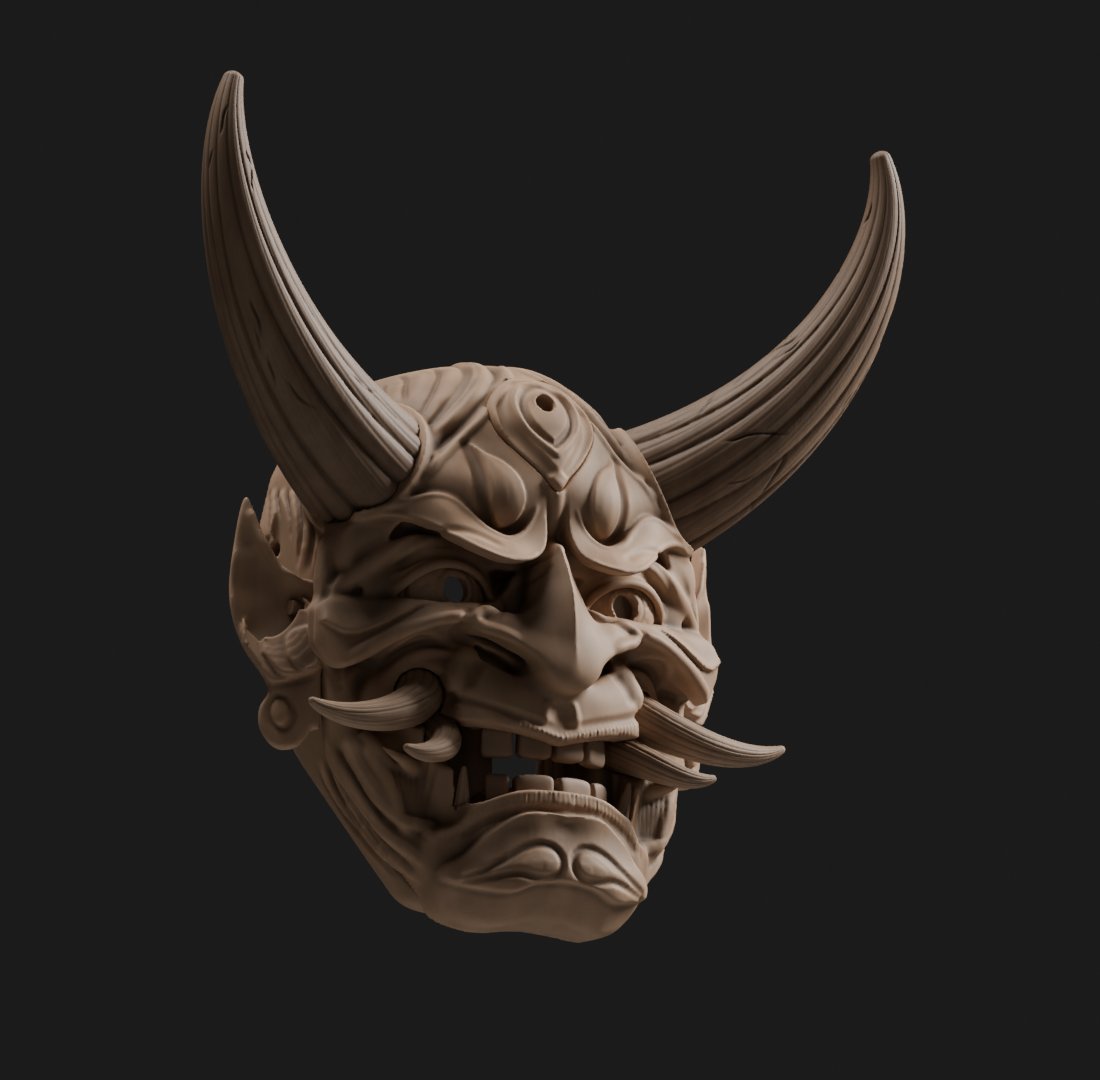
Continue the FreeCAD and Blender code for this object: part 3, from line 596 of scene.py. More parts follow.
def cheek_lines(clay):
    """The cheekbone's folds, the lids' folds and the fold beside the nose."""
    clay.ridge([(38, -6), (45, -6.8), (53, -10.4), (61.5, -15), (69, -16.8), (76, -12.5)],
        8, [0.8, 1.4, 2.0, 2.2, 1.8], (0.3, 0.05), kind="ledge")
    clay.ridge([(30, -9), (40, -11), (53, -15.5), (62, -20.5), (69, -26)], 3.2, 1.6, (0.2, 0.1))
    clay.ridge([(56, -23), (60, -27), (61.5, -33), (60, -40)], 3.2, 1.6, (0.25, 0.25))
    clay.ridge([(27, -19), (33, -25), (35.5, -32), (34, -38)], 4.5, 1.8, (0.2, 0.3))
    clay.ridge([(24, -23), (29, -29), (30.5, -35)], 3, -1.0, (0.2, 0.3))
    clay.ridge([(17, -5), (24, -9.5), (33, -12), (43, -12)], 2.6, -0.9, kind="sharp")
    clay.ridge([(31, -6.4), (34, -11.2), (32, -16), (27.6, -18), (22, -20)], 2.4, -1.5, kind="sharp")
    clay.ridge([(21, -7.6), (27, -8), (30.8, -11), (28.6, -14.4), (23, -16.4), (17, -19.4)],
        3.4, [0.8, 1.5, 1.9, 1.9, 1.4], (0.25, 0.2))
    clay.ridge([(22, 12), (32, 17), (42, 17.5), (50, 13), (56, 5)], 2.4, -1.0, kind="sharp")


def lip_lines(clay):
    """The groove below the nose, the step round each lip and the fine upright creases on it."""
    clay.ridge([(0, -36.5), (0, -41), (0, -46.5)], [5, 5.4, 5], [-1.4, -1.6, -1.2], (0.25, 0.2))
    clay.ridge([(4.4, -36), (5.8, -40.5), (6.4, -46)], 2.2, 0.9, (0.25, 0.2))
    clay.ridge([(0, -46.5), (15, -42.6), (30, -38.6), (40, -34.5)], 2.4, -1.3, (0, 0.1))
    clay.ridge([(0, -73.2), (15, -74), (27, -78.6), (34, -84.5)], 2.4, -1.2, (0, 0.15))
    for number in range(24):
        x = 0.9 + 1.65 * number
        top = -45.8 + 0.0068 * x * x + 0.03 * x
        low = -51.8 + 0.27 * x - 0.0008 * x * x
        clay.ridge([(x, top), (x + 0.4, low)], 0.95, -0.6, (0.3, 0.1), kind="sharp")
    for number in range(21):
        x = 0.9 + 1.7 * number
        top = -66.4 - 0.011 * x * x
        clay.ridge([(x, top), (x + 0.036 * x, top - 6 - 1.2 * math.sin(9 * x))], 0.95, -0.55, (0.1, 0.4),
            kind="sharp")


def corner_lines(clay):
    """The pleats that run down from the corner of the mouth to the lower lip and the jaw."""
    for number in range(8):
        n = number * 2.2
        path = [(39 + n, -51 - 0.35 * n), (39.6 + 0.9 * n, -62), (40.4 + 0.62 * n, -73 - 0.2 * n),
            (41 + 0.3 * n, -84)]
        clay.ridge(path, 1.25, -0.8, (0.3, 0.35), kind="sharp")
    # the flap of skin behind the mouth's corner, and the fold that falls from it
    clay.ridge([(58, -47), (56, -53), (52.4, -58), (47, -61)], 3.0, 2.0, (0.05, 0.4))
    clay.ridge([(59, -50), (57, -57), (53.4, -64), (49.6, -74), (46, -86)], 3.4, 1.6, (0.15, 0.3))
    clay.tube([(45, -62, -59.5), (50.5, -66, -58), (54, -66, -56.6), (57, -64.5, -54.4)],
        [3.2, 2.4, 1.5, 0.4], blend=2)


def tusk_lines(clay):
    """The swirl of skin round the root of the large tusk."""
    points = [(31, -23.5), (35.5, -21.5), (41, -21.4), (46.5, -24), (50.5, -29), (52, -35), (50, -41.5)]
    clay.ridge(points, 2.6, 1.6, (0.2, 0.25))
    clay.ridge([(x + 1.8, z + 3) for x, z in points], 2.0, -1.1, (0.2, 0.25))
    clay.ridge([(x + 3.6, z + 6) for x, z in points[:-2]], 2.2, 0.9, (0.2, 0.3))


def chin_lines(clay):
    """The raised plate on the chin, with a drop at each side of its middle."""
    clay.plate(CHIN_PLATE, 2.7, edge=1.0)
    clay.ridge([(35, -97.8), (29, -95.4), (22, -91.4), (16, -87.6), (10, -85.6), (5, -86.2), (2.2, -89.4),
        (2.6, -93.6), (6.4, -96.6), (12, -96.9), (18, -96), (25, -97.2), (35, -99.2)],
        1.8, -1.9, (0.02, 0.02))
    clay.plate(CHIN_DROP, 0.3, edge=1.2, dome=0.4)


def jaw_lines(clay):
    """The drawn folds of the cheek and jaw, seen from the side as (y, z)."""
    for number, points in enumerate([
        [(-40, -46), (-43, -58), (-50, -72), (-60, -86), (-66, -95)],
        [(-33, -47), (-35, -60), (-42, -76), (-53, -90), (-60, -99)],
        [(-26, -49), (-27, -60), (-33, -74), (-45, -90), (-52, -100)],
        [(-18, -50), (-20, -58), (-25, -68), (-36, -82), (-44, -93)],
        [(-48, -48), (-52, -58), (-58, -70), (-65, -80), (-70, -86)],
    ]):
        clay.side_ridge(points, 4.0, 2.2 - 0.15 * number, (0.2, 0.25))
        clay.side_ridge([(y + 4, z - 1) for y, z in points], 2.4, -1.6, (0.2, 0.3))
        clay.side_ridge([(y + 1.4, z - 0.4) for y, z in points], 1.2, -0.8, (0.3, 0.15), kind="sharp")
        clay.side_ridge([(y - 2, z + 0.5) for y, z in points], 1.2, -0.7, (0.15, 0.3), kind="sharp")
    # the fold of skin in front of the ear
    clay.tube([(60, -44, 26), (66, -46, 15), (68.5, -46.5, 3), (67.5, -46, -10), (64.5, -45, -22),
        (63, -46, -34), (60.5, -45, -47), (56, -42, -58)], [2, 4, 4.4, 3.4, 3.8, 4.2, 3.2, 1.5], blend=4)
    clay.side_ridge([(-50, 16), (-51.5, 2), (-50, -12), (-49, -26), (-50, -38)], 2.4, -1.2, (0.2, 0.2))
    # strands of skin between the ear and the horn
    for number in range(6):
        y = -10 - 5.4 * number
        path = [(y + 6, 42 - number), (y + 1.5, 32), (y - 0.5, 22), (y + 1, 13 - 1.5 * number)]
        clay.side_ridge(path, 2.6, 1.5, (0.15, 0.3))
        clay.side_ridge([(a + 2.6, b) for a, b in path], 1.9, -1.1, (0.15, 0.3))


# ---------------------------------------------------------------- the pieces let into the face

HORN = ([(55, -46, 43.5), (115, -73, 75), (134, -83, 134), (122.5, -81.5, 162)], 23.5, 3.1, 1.1)
CHEEK_TUSK = ([(40, -58, -33), (50, -78, -45), (76, -73, -51), (90.5, -74, -42.5)], 8.2, 0.8, 0.7)
MOUTH_TUSK = ([(34, -60, -47), (37, -80, -54), (50, -81, -61), (59.3, -82, -56.6)], 6.4, 0.7, 0.7)
FANG = ([(29.5, -67.5, -76), (30, -69.5, -70), (31, -71.5, -65), (31.3, -73, -59.3)], 3.4, 0.5, 0.7)
ARCH_Y = cad("upper_gum", 1, 0) + 40.0  # the middle of the rows of teeth
# The radii of the gums' room, and the height between them.
ARCH_UPPER, ARCH_LOWER, ARCH_SPLIT = 40.5, ARCH_Y - cad("lower_gum", 1, 0) + 0.5, -60
BLOCK = (0, -101, -118), (84, 3, 92)  # two corners of the grid
WALL = 8.0
EYE_BALL, EYE_RIM, PUPIL = 19.0, 14.5, 4.6  # radii
HORN_STAND, HORN_SEAT, HORN_DOWEL = 25.2, 24.0, 6.2  # radii
EAR_ROOT = (cad("ear_right", 0, 0), -36.0, 0.0)
EAR_SPLAY = math.radians(29)
# The heights of the ear dowels' holes, and the holes' radius.
EAR_DOWELS, EAR_DOWEL = (cad("ear_dowels_right", 2, 0) + 2.5, cad("ear_dowels_right", 2, 1) - 2.5), 2.7
MOUNTS = {mount["name"]: mount["pos_m"] for mount in frame["record"]["mounts"]}
CORD_HOLE = [round(place / MM, 2) for place in MOUNTS["cord_hole_right"][1:]]  # y, z
SIDEWAYS = (1, 0, 0)
THIRD_EYE = [(0, 75.6), (8, 74.2), (15, 69.6), (19, 62), (18, 54), (12, 46), (5, 39), (0, 34)]
THIRD_EYE_RING = [(0, 72.4), (6, 71.4), (10, 68), (11.6, 62.5), (10, 56.5), (5.5, 51), (0, 46.5)]


def bezier(controls, t):
    a, b, c, d = (np.array(p, float) for p in controls)
    t = np.atleast_1d(t)[:, None]
    return a * (1 - t) ** 3 + 3 * b * t * (1 - t) ** 2 + 3 * c * t * t * (1 - t) + d * t**3


def taper(kind, t):
    _, root, tip, power = kind
    return tip + (root - tip) * (1 - np.clip(t, 0, 1)) ** power


def along_root(kind):
    controls = np.array(kind[0], float)
    way = controls[1] - controls[0]
    return controls[0], way / np.linalg.norm(way)


def clear(clay, kind, gap):
    """Carves a flat-bottomed seat and room for a curved piece that stands out of the clay."""
    root, way = along_root(kind)
    clay.rod(root - way * 0.3, way, 14, kind[1] + gap, carve=True)
    t = np.linspace(0.25, 1, 12)
    clay.tube(bezier(kind[0], t), taper(kind, t) + gap, blend=0, carve=True)


def trim_jaw(clay, field, raised=0.0, blend=0.0):
    """Cuts the flats under the jaw: one below each jaw muscle, and one that rises from chin to rim.

    They lie in the planes of the CAD shell's bevel and under-chin cut.
    """
    x, y, z = clay.grid()
    field = blend_max(field, 0.648 * x + 0.513 * y - 0.563 * z - 61.3 + raised, blend)
    return blend_max(field, (-92 + raised + 0.3 * y - z) / 1.044, blend).astype(np.float32)


def third_eye_lines(clay):
    """The forehead eye: a drop inside a drop, with a ball and a pupil in the inner one."""
    clay.plate(both(THIRD_EYE), 1.8, edge=2.4)
    clay.ridge([(0, 74), (9, 72), (14.2, 67), (15.6, 60), (13.6, 53), (8, 45.5), (2, 38.5)],
        3.4, [0, -1.8, -3.1, -3.2, -3.1, -2.6, -1.6], (0, 0.05))
    clay.ridge(THIRD_EYE_RING, 1.8, 1.5, (0, 0))
    clay.ridge([(0, 70.6), (5, 69.4), (8.2, 66.2), (9, 62), (7.6, 57), (4, 53), (0, 50)], 2.0, -1.7, (0, 0))
    clay.blob((0, -64.5, 62.5), (7.6, 8.6, 8.6), blend=1.5)
    clay.rod((0, -60, 60.5), (0, -0.93, 0.36), 30, 3.4, carve=True)


def seat_horn(clay):
    """The round stand below the horn's root."""
    root, way = along_root(HORN)
    clay.rod(root - way * 24, way, 24, HORN_STAND, blend=3)


def let_in_pieces(clay):
    """Seats and holes for the separate pieces, each a little larger than its piece."""
    root, way = along_root(HORN)
    clay.rod(root, way, 60, HORN_SEAT, carve=True)
    clay.rod(root - way * 8.3, way, 20, HORN_DOWEL, carve=True)
    for kind, gap in ((CHEEK_TUSK, 0.5), (MOUTH_TUSK, 0.5), (FANG, 0.4)):
        clear(clay, kind, gap)
    x, y, z = clay.grid()
    ball = norm(x - EYE[0], y - EYE[1], z - EYE[2]) - EYE_BALL - 0.25
    tunnel = norm(x - EYE[0], z - EYE[2]) - EYE_RIM - 0.3
    eye = np.maximum(tunnel, np.minimum(ball, np.abs(y + 40) - 16))
    # the curved room for gums and teeth
    arch = norm(x, y - ARCH_Y) - np.where(z > ARCH_SPLIT, ARCH_UPPER, ARCH_LOWER)
    mouth = common(arch, -9.6 - arch, np.abs(z + 57) - 20, x - 33.5, y + 36 + 20 * ease((x - 18) / 8))
    ear = common(EAR_ROOT[0] - x, np.abs(y + 26) - 16, np.abs(z + 10) - 55)
    clay.phi = common(clay.phi, -eye, -mouth, -ear)
    for height in EAR_DOWELS:
        clay.rod((50, EAR_ROOT[1] + 3.5, height), SIDEWAYS, 40, EAR_DOWEL, carve=True)
    # the cord's hole, with a flat face at each end
    for start, length, radius in ((40, 60, 2.5), (67.6, 12, 5.5), (49.8, 12, 5.5)):
        clay.rod((start, *CORD_HOLE), SIDEWAYS, length, radius, carve=True)


def cut_boss(clay):
    """Cuts the forehead eye's drop-shaped piece out of the clay, and returns it."""
    _, y, z = clay.grid()
    gap = -outline_distance(closed_path(both(THIRD_EYE)), clay.axes[0], clay.axes[2])[:, None, :]
    drop = np.maximum(gap, -4.5 - (-0.914 * (y + 71) + 0.407 * (z - 60)))
    low, high = BLOCK
    boss = Clay((*low[:2], 20), high)
    rows = slice(len(clay.axes[2]) - len(boss.axes[2]), None)
    boss.axes[2], boss.low[2] = clay.axes[2][rows], clay.axes[2][rows][0]
    boss.phi = blend_max(clay.phi, drop, 1.2)[:, :, rows].astype(np.float32)
    clay.phi = blend_max(clay.phi, 0.15 - drop, 1.2).astype(np.float32)
    return boss


def hollow_out(clay):
    """The gouged hollow behind the face, and what stands in it again."""
    x, y, z = clay.grid()
    hollow = trim_jaw(clay, base_form(clay, WALL), WALL)
    gouged = np.sin(0.5 * x + 1.5 * np.sin(0.13 * z)) * np.sin(0.38 * z + 1.2 * np.sin(0.1 * y + 0.2 * x))
    hollow = hollow + 0.5 * gouged**2
    clay.phi = common(clay.phi, -hollow, y).astype(np.float32)
    # thick places behind the eye, the large tusk, the small tusk and the upper side teeth
    for centre, radii in (((33, -57, 2), (28, 4.6, 19)), ((41, -52, -38), (18, 9, 15)),
                          ((36, -50, -55), (10, 9, 12)), ((25, -46, -54), (13, 4.5, 17))):
        clay.blob(centre, radii, blend=2)
    # the inside of the cheek beside the mouth, and room for the tongue
    cheek = common(np.abs(norm(x, y - ARCH_Y) - 20) - 3, np.abs(z + 56) - 18, 11.8 - x, y + 36)
    clay.phi = blend_min(clay.phi, cheek.astype(np.float32), 2)
    clay.blob((0, -58, -74), (23.6, 19.6, 12.6), carve=True, blend=0)


def carve_face():
    """The whole carved block: the shell, and the forehead eye's piece cut out of it."""
    clay = Clay(*BLOCK)
    clay.phi = base_form(clay)
    shape_masses(clay)
    clay.phi = trim_jaw(clay, clay.phi, blend=5)
    clay.pit(SOCKET, socket_floor, blend=1.5)
    shape_eyes(clay)
    shape_plates(clay)
    shape_mouth(clay)
    clay.pit(NOSTRIL, -66, blend=1.2)
    clay.soften((0, -78, -37), (44, 22, 20), 1.9)  # the muzzle's edges
    clay.settle()
    for detail in (brow_lines, forehead_lines, cheek_lines, lip_lines, corner_lines, tusk_lines,
                   chin_lines, jaw_lines, third_eye_lines):
        detail(clay)
    clay.settle()
    seat_horn(clay)
    boss = cut_boss(clay)
    hollow_out(clay)
    let_in_pieces(clay)
    return clay, boss


def carve_eye():
    """An eyeball insert with its pupil bored through, a ring round it and fine veins."""
    clay = Clay((EYE[0] - 17, -73, -17), (EYE[0] + 17, -51, 17), 0.6)
    x, y, z = clay.grid()
    reach = norm(x - EYE[0], z) + 0 * y
    ball = norm(x - EYE[0], y - EYE[1], z)
    phi = common(ball - EYE_BALL, EYE_BALL - 4 - ball, reach - EYE_RIM, y + 53.4)
    clay.phi = (phi + 0.5 * np.clip(1 - np.abs(reach - 7.4) / 0.9, 0, 1)).astype(np.float32)
    for turn in (-28, 4, 34, 150, 176, 205):
        a = math.radians(turn)
        vein = [(EYE[0] + r * math.cos(a + wave), r * math.sin(a + wave))
                for r, wave in ((8.2, 0), (10, 0.12), (11.6, -0.06), (13.4, 0.1))]
        clay.ridge(vein, 0.9, -0.5, kind="sharp")
    clay.rod((EYE[0], -40, 0), (0, -1, 0), 40, PUPIL, carve=True)
    return clay


EAR = [(-3, 4), (9, 7.5), (17, 19), (23.3, 33), (27.6, 14), (28.4, -2), (24.5, -16), (17.5, -27),
    (15.6, -32.4), (18.6, -38), (18.2, -45), (13, -51), (6, -50.4), (1.5, -45), (-3, -41)]


def carve_ear():
    """An ear in its own plane: x outwards from its root, z up, the front towards -Y."""
    clay = Clay((-5, -9, -56), (32, 9, 37), 0.7)
    clay.sheet(EAR, [(0, 4, -3.6), (9, 7, -4.2), (17, 18, -4.4), (23, 31.5, -2.5), (28, 13, -2.5),
        (28.4, -2, -3), (25, -16, -3.4), (18, -27, -4), (16.5, -32, -4), (19, -42, -3.2), (13, -51, -3),
        (4, -49, -3), (14, 7, -0.5), (22, 17, -0.5), (23, 4, 0.8), (16, -2, 1.5), (8, -1, 0.5),
        (20, -12, 0.5), (10, -12, 0), (0, -10, -2.5), (0, -25, -3.5), (10, -30, -3.8), (0, -40, -3.6),
        (10, -40, -3.8)], back=5.0, edge=2.0, blend=0)
    for outline, height in (
        ([(23.6, -17), (24.2, -10), (20, -2), (13, 0.4), (4, -1), (-2, -10), (-2, -25), (12, -30),
          (17, -27)], 2.6),
        ([(17.4, -20), (17, -11.5), (11.4, -6.2), (3, -5.5), (-2, -12), (-2, -25), (8, -28),
          (13, -26)], 2.4),
        ([(9.5, -22), (9.8, -15), (5, -11.5), (-2, -13), (-2, -25), (5, -26)], 1.6),
    ):
        clay.plate(outline, height, edge=1.0)
    clay.ridge([(4, 4.5), (11, 7.8), (17, 16), (22.5, 29)], 2.4, 1.0, (0.2, 0.1))
    clay.ridge([(10, -35), (7, -40), (10, -45), (14, -43), (15, -38), (12.5, -34), (10, -35)],
        1.6, -1.1, (0, 0))
    clay.blob((11.6, -3.6, -39.5), (3.1, 1.6, 4.6), blend=1)
    x, y, _ = clay.grid()
    root = -(x * math.cos(EAR_SPLAY) - y * math.sin(EAR_SPLAY))
    clay.phi = np.maximum(clay.phi, root).astype(np.float32)
    return clay


def turned(places, angle, origin):
    """Places turned about Z, then moved."""
    c, s = math.cos(angle), math.sin(angle)
    x, y, z = places.T
    return np.stack([c * x - s * y, s * x + c * y, z], 1) + origin


def make_piece(name, shape, flip=False):
    """A mesh object that rides with the mask in place of the plain solid of that name."""
    places, faces, hollow = shape
    places = places * ([-MM, MM, MM] if flip else [MM, MM, MM])
    mesh = bpy.data.meshes.new(name + "_carved")
    mesh.from_pydata(places.tolist(), [], [face[::-1] for face in faces] if flip else faces)
    mesh.polygons.foreach_set("use_smooth", [len(face) == 4 for face in faces])
    # the layer that the wood turns into painted shade in hollows and a painted highlight on edges
    if hollow is not None:
        layer = mesh.attributes.new("hollow", "FLOAT", "POINT")
        layer.data.foreach_set("value", hollow.astype(np.float32))
    piece = bpy.data.objects.new(name + "_carved", mesh)
    bpy.context.collection.objects.link(piece)
    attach(piece, "root")
    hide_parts(name)
    return piece


def fluted(kind, seed, count, depths, fine, rings, around, cracks):
    """A curved tapering piece with uneven lengthwise ribs that meet in sharp furrows."""
    rng = np.random.default_rng(seed)
    cap = np.linspace(0.1, 1.55, 12)  # angles over the rounded tip
    tip, tip_length = 0.97, 0.025
    t = np.concatenate([np.linspace(0, tip, rings), tip + tip_length * np.sin(cap)])
    close = np.concatenate([np.ones(rings), np.cos(cap)])
    centres = bezier(kind[0], t)
    ways = np.gradient(centres, axis=0)
    ways /= np.linalg.norm(ways, axis=1)[:, None]
    side = np.cross(ways[0], [0, 0, 1])
    places = []
    angles = np.linspace(0, 2 * math.pi, around, endpoint=False)
    bounds = np.sort(rng.uniform(0, 0.75, count) + np.arange(count)) / count
    drift = rng.uniform(-0.35, 0.35, count) / count
    phase = rng.uniform(0, 6.28, count)
    strength = rng.uniform(0.5, 1.0, count)
    deep = along(depths, len(t))
    flaws = [(rng.uniform(0.04, 0.8), rng.uniform(0.05, 0.12), rng.uniform(0, 6.28),
              rng.choice([-1, 1]) * rng.uniform(1, 7)) for _ in range(cracks)]
    furrows = []
    for i, share in enumerate(t):
        side = side - ways[i] * (side @ ways[i])
        side /= np.linalg.norm(side)
        up = np.cross(ways[i], side)
        edges = (bounds + drift * np.sin(5 * share + phase) + 0.06 * share) % 1
        order = np.argsort(edges)
        edges, power = edges[order], strength[order]
        where = angles / (2 * math.pi)
        slot = np.searchsorted(edges, where) % count
        start, end = edges[slot - 1], edges[slot]
        width = (end - start) % 1
        inside = ((where - start) % 1) / np.maximum(width, 1e-6)
        rib = 1 - np.abs(2 * inside**0.85 - 1) ** 2.6
        edge = np.where(inside < 0.5, power[slot - 1], power[slot])
        sink = deep[i] * (1 - rib) * edge * np.clip(width * count * 1.2, 0.3, 1.4)
        wrinkles = np.sin(angles * 37 + 3 * np.sin(4 * share)) * np.sin(angles * 23 + 1.7)
        sink = sink + fine * deep[i] * wrinkles**2
        split = np.zeros(around)
        full = taper(kind, share)
        for start, length, angle, twist in flaws:  # cracks that twist a little round the horn
            far = angles - angle - twist * (share - start) - 0.06 * np.sin(60 * share + angle) + math.pi
            across = (far % (2 * math.pi) - math.pi) * full / math.hypot(1, twist * full / 160)
            split = np.maximum(split, np.exp(-((across / 0.4) ** 2)) * ease((share - start) * 30)
                               * ease((start + length - share) * 30))
        radius = (full - sink - 0.7 * split) * close[i]
        outwards = np.cos(angles)[:, None] * side + np.sin(angles)[:, None] * up
        places.append(centres[i] + radius[:, None] * outwards)
        # how deep each point lies in a furrow or crack; the wood paints shade there from it
        furrows.append(-np.clip(1 - rib - 0.45, 0, 1) * edge - 0.9 * split)
    grid = np.arange(len(t) * around).reshape(len(t), around)
    beside = np.roll(grid, -1, 1)
    quads = np.stack([grid[:-1], beside[:-1], beside[1:], grid[1:]], -1).reshape(-1, 4).tolist()
    return np.vstack(places), quads + [grid[0][::-1].tolist(), grid[-1].tolist()], np.concatenate(furrows)


def make_tooth(name, seed):
    """A squarish tooth with softened, slightly uneven corners, in the place of its plain solid."""
    low, high = (np.array(c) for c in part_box(name))
    centre = (low + high) / 2 / MM
    turn = math.atan2(centre[0], -(centre[1] - ARCH_Y))
    width = (high[0] - low[0]) / MM
    depth = (high[1] - low[1]) / MM
    c, s = math.cos(turn), abs(math.sin(turn))
    wide = (width * c - depth * s) / (c * c - s * s)
    size = np.array([wide, min(6.0, depth), (high[2] - low[2]) / MM]) / 2
    rng = np.random.default_rng(seed)
    n, squareness = 26, 7
    line = np.linspace(-1, 1, n)
    places, quads, count = [], [], 0
    for axis in range(3):
        for sign in (-1, 1):
            a, b = np.meshgrid(line, line, indexing="ij")
            p = np.zeros([n, n, 3])
            p[..., axis], p[..., (axis + 1) % 3], p[..., (axis + 2) % 3] = sign, a, b
            places.append(p.reshape(-1, 3))
            g = np.arange(n * n).reshape(n, n) + count
            q = np.stack([g[:-1, :-1], g[1:, :-1], g[1:, 1:], g[:-1, 1:]], -1).reshape(-1, 4)
            quads.append(q if sign > 0 else q[:, ::-1])
            count += n * n
    p = np.vstack(places)
    p = p / (np.abs(p) ** squareness).sum(1)[:, None] ** (1 / squareness)
    biting = -1 if "upper" in name else 1  # which way the biting edge looks
    edge = np.clip(p[:, 2] * biting, -1, 1)
    a, b, d = rng.uniform(0, 6, 3)
    p[:, 0] *= 0.965 + 0.03 * edge - 0.03 * np.clip(edge, 0, 1) ** 4
    p[:, 1] *= 1 - 0.22 * np.clip(edge, 0, 1) ** 3 - 0.10 * p[:, 0] ** 2
    p[:, 2] -= biting * (0.06 * p[:, 0] ** 2 + 0.02 * np.sin(2 * p[:, 0] + a)) * np.clip(edge, 0, 1)
    p[:, 1] += 0.035 * np.sin(3 * p[:, 0] + b) * np.sin(2.2 * p[:, 2] + d)
    piece = make_piece(name, (turned(p * size, turn, centre), np.vstack(quads).tolist(), None))
    piece.modifiers.new("weld", "WELD").merge_threshold = 0.00002


# Name, shape, slot, seed, number of ribs, their depths, share of fine ribs, rings, points round, cracks.
FLUTED = (
    ("horn", HORN, "horn_wood", 3, 13, (2.1, 1.5, 0.9, 0.45, 0.12), 0.1, 260, 300, 22),
    ("cheek_tusk", CHEEK_TUSK, "tusk_wood", 7, 17, (0.5, 0.4, 0.22, 0.06), 0.2, 90, 160, 0),
    ("mouth_tusk", MOUTH_TUSK, "tusk_wood", 17, 15, (0.35, 0.3, 0.15, 0.04), 0.2, 70, 130, 0),
    ("lower_fang", FANG, "tooth_wood", 27, 9, (0.2, 0.18, 0.1, 0.03), 0.2, 40, 90, 0),
)
SIDES = ("left", "right")

shell, boss = carve_face()
make_piece("mask_shell", shell.surface())
make_piece("forehead_eye", boss.surface())
eye = carve_eye().surface(False)
ear_places, *ear_rest = carve_ear().surface(False)
ear = turned(ear_places, EAR_SPLAY, EAR_ROOT), *ear_rest
for number, side in enumerate(SIDES):
    flip = side == "left"
    make_piece(f"ear_{side}", ear, flip)
    make_piece(f"eye_{side}", eye, flip)
    for name, kind, slot, seed, *options in FLUTED:
        make_piece(f"{name}_{side}", fluted(kind, seed + number, *options), flip)
for number, (side, place, jaw) in enumerate(product(SIDES, ("centre", "side"), ("upper", "lower"))):
    make_tooth(f"tooth_{jaw}_{place}_{side}", number)


# ---------------------------------------------------------------- wood


def wood(name, light, dark, grain, roughness, relief):
    """Matt, unpainted wood: long grain, painted shade in furrows, and faint tool and pore relief."""
    material = bpy.data.materials.new(name)
    material.use_nodes = True
    nodes, links = material.node_tree.nodes, material.node_tree.links
    shader = nodes["Principled BSDF"]
    shader.inputs["Roughness"].default_value = roughness
    shader.inputs["Specular IOR Level"].default_value = 0.3
    place = nodes.new("ShaderNodeTexCoord")

    def noise(scale, stretch, detail):
        mapping = nodes.new("ShaderNodeMapping")
        mapping.inputs["Scale"].default_value = stretch
        links.new(place.outputs["Object"], mapping.inputs["Vector"])
        texture = nodes.new("ShaderNodeTexNoise")
        texture.inputs["Scale"].default_value = scale
        texture.inputs["Detail"].default_value = detail
        texture.inputs["Roughness"].default_value = 0.6
        links.new(mapping.outputs["Vector"], texture.inputs["Vector"])
        return texture.outputs["Fac"]

    def levels(source, low, high, first, last):
        ramp = nodes.new("ShaderNodeMapRange")
        for key, value in zip(("From Min", "From Max", "To Min", "To Max"), (low, high, first, last)):
            ramp.inputs[key].default_value = value
        links.new(source, ramp.inputs["Value"])
        return ramp.outputs["Result"]

    def combine(kind, a, b):
        node = nodes.new("ShaderNodeMath")
        node.operation = kind
        for socket, value in zip(node.inputs, (a, b)):
            if isinstance(value, float):
                socket.default_value = value
            else:
                links.new(value, socket)
        return node.outputs[0]

    long_grain = noise(grain, (1, 1, 0.09), 5)
    broad = noise(14, (1, 1, 0.5), 3)
    pores = noise(grain * 6, (1, 1, 0.2), 3)
    furrow = nodes.new("ShaderNodeAttribute")
    furrow.attribute_name = "hollow"
    tone = combine("ADD", combine("MULTIPLY", long_grain, 0.45), combine("MULTIPLY", broad, 0.55))
    tone = combine("ADD", levels(tone, 0.35, 0.65, 0.0, 1.0), levels(pores, 0.3, 0.42, -0.12, 0.0))
    mix = nodes.new("ShaderNodeMix")
    mix.data_type = "RGBA"
    mix.inputs["A"].default_value = (*dark, 1)
    mix.inputs["B"].default_value = (*light, 1)
    links.new(tone, mix.inputs["Factor"])
    # painted shade: hollow places are darker; painted highlight: edges a little lighter
    painted_shade_and_highlight = levels(furrow.outputs["Fac"], -0.75, 0.35, 0.34, 1.15)
    painted_light_mix = nodes.new("ShaderNodeMix")
    painted_light_mix.data_type, painted_light_mix.blend_type = "RGBA", "MULTIPLY"
    painted_light_mix.inputs["Factor"].default_value = 1.0
    links.new(mix.outputs["Result"], painted_light_mix.inputs["A"])
    grey = nodes.new("ShaderNodeCombineColor")
    for channel in ("Red", "Green", "Blue"):
        links.new(painted_shade_and_highlight, grey.inputs[channel])
    links.new(grey.outputs["Color"], painted_light_mix.inputs["B"])
    links.new(painted_light_mix.outputs["Result"], shader.inputs["Base Color"])
    bump = nodes.new("ShaderNodeBump")
    bump.inputs["Strength"].default_value = relief
    bump.inputs["Distance"].default_value = 0.0006
    links.new(combine("ADD", combine("MULTIPLY", long_grain, 0.6), combine("MULTIPLY", pores, 0.4)),
              bump.inputs["Height"])
    links.new(bump.outputs["Normal"], shader.inputs["Normal"])
    return material


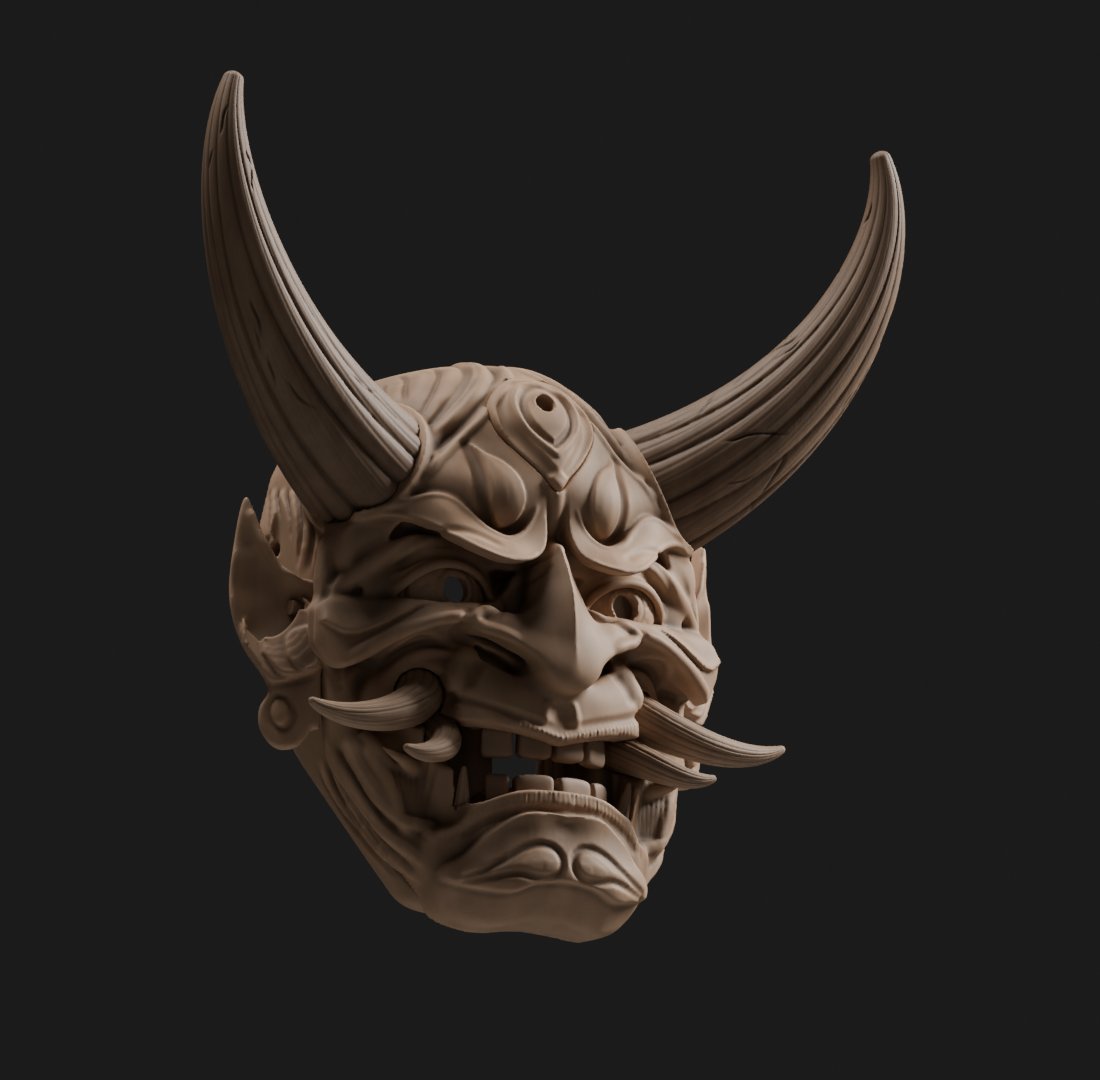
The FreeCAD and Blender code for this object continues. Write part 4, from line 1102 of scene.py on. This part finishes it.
def paper():
    """The pale, slightly clouded sheet that the floor is covered with."""
    material = bpy.data.materials.new("pale_floor")
    material.use_nodes = True
    nodes, links = material.node_tree.nodes, material.node_tree.links
    place = nodes.new("ShaderNodeTexCoord")
    clouds = nodes.new("ShaderNodeTexNoise")
    clouds.inputs["Scale"].default_value = 3.0
    links.new(place.outputs["Object"], clouds.inputs["Vector"])
    mix = nodes.new("ShaderNodeMix")
    mix.data_type = "RGBA"
    mix.inputs["A"].default_value = (0.70, 0.69, 0.67, 1)
    mix.inputs["B"].default_value = (0.78, 0.77, 0.75, 1)
    links.new(clouds.outputs["Fac"], mix.inputs["Factor"])
    shader = nodes["Principled BSDF"]
    links.new(mix.outputs["Result"], shader.inputs["Base Color"])
    shader.inputs["Roughness"].default_value = 0.85
    return material


WOODS = {
    "face": wood("face_wood", (0.39, 0.248, 0.158), (0.28, 0.174, 0.108), 130, 0.62, 0.12),
    "horn": wood("horn_wood", (0.26, 0.168, 0.11), (0.15, 0.092, 0.058), 110, 0.6, 0.3),
    "tusk": wood("tusk_wood", (0.43, 0.29, 0.195), (0.31, 0.2, 0.13), 150, 0.58, 0.2),
    "tooth": wood("tooth_wood", (0.37, 0.245, 0.162), (0.27, 0.172, 0.112), 150, 0.6, 0.15),
}
for piece in bpy.data.objects:
    if piece.type != "MESH":
        continue
    kind = "face"
    if piece.name.startswith("horn"):
        kind = "horn"
    elif "tusk" in piece.name or "fang" in piece.name:
        kind = "tusk"
    elif "tooth" in piece.name:
        kind = "tooth"
    piece.data.materials.clear()
    piece.data.materials.append(WOODS[kind])


# ---------------------------------------------------------------- camera, light and floor


def make_camera(turn=math.radians(30), rise=math.radians(-11), distance=6.1, lens=600):
    """A long lens a few metres off, below and to the left of the face."""
    right = Vector((math.cos(turn), -math.sin(turn), 0))
    back = Vector((-math.sin(turn) * math.cos(rise), -math.cos(turn) * math.cos(rise), math.sin(rise)))
    up = back.cross(right)
    target = right * 0.0375 + up * 0.0307
    data = bpy.data.cameras.new("camera")
    data.lens, data.sensor_width = lens, 36
    camera = bpy.data.objects.new("camera", data)
    camera.location = target + back * distance
    camera.rotation_euler = back.to_track_quat("Z", "Y").to_euler()
    bpy.context.collection.objects.link(camera)
    bpy.context.scene.camera = camera


def make_light(name, direction, distance, size, power, colour):
    data = bpy.data.lights.new(name, "AREA")
    data.size, data.energy, data.color = size, power, colour
    light = bpy.data.objects.new(name, data)
    light.location = Vector(direction).normalized() * distance
    light.rotation_euler = Vector(direction).to_track_quat("Z", "Y").to_euler()
    bpy.context.collection.objects.link(light)


make_camera()
make_light("key", (1.0, -0.24, 0.66), 1.6, 0.45, 60, (1, 0.98, 0.95))
make_light("top", (-0.3, 0.12, 1.0), 1.6, 0.8, 34, (1, 0.98, 0.96))
make_light("fill", (-0.3, -1.0, 0.0), 2.2, 1.6, 1.4, (0.95, 0.97, 1))
world = bpy.data.worlds.new("world")
bpy.context.scene.world = world
world.use_nodes = True
world.node_tree.nodes["Background"].inputs["Color"].default_value = (0.8, 0.8, 0.8, 1)
world.node_tree.nodes["Background"].inputs["Strength"].default_value = 0.02

bpy.ops.mesh.primitive_plane_add(size=12, location=(0, 0, -1.9))
floor = bpy.context.object
floor.name = "floor"
floor.data.materials.append(paper())
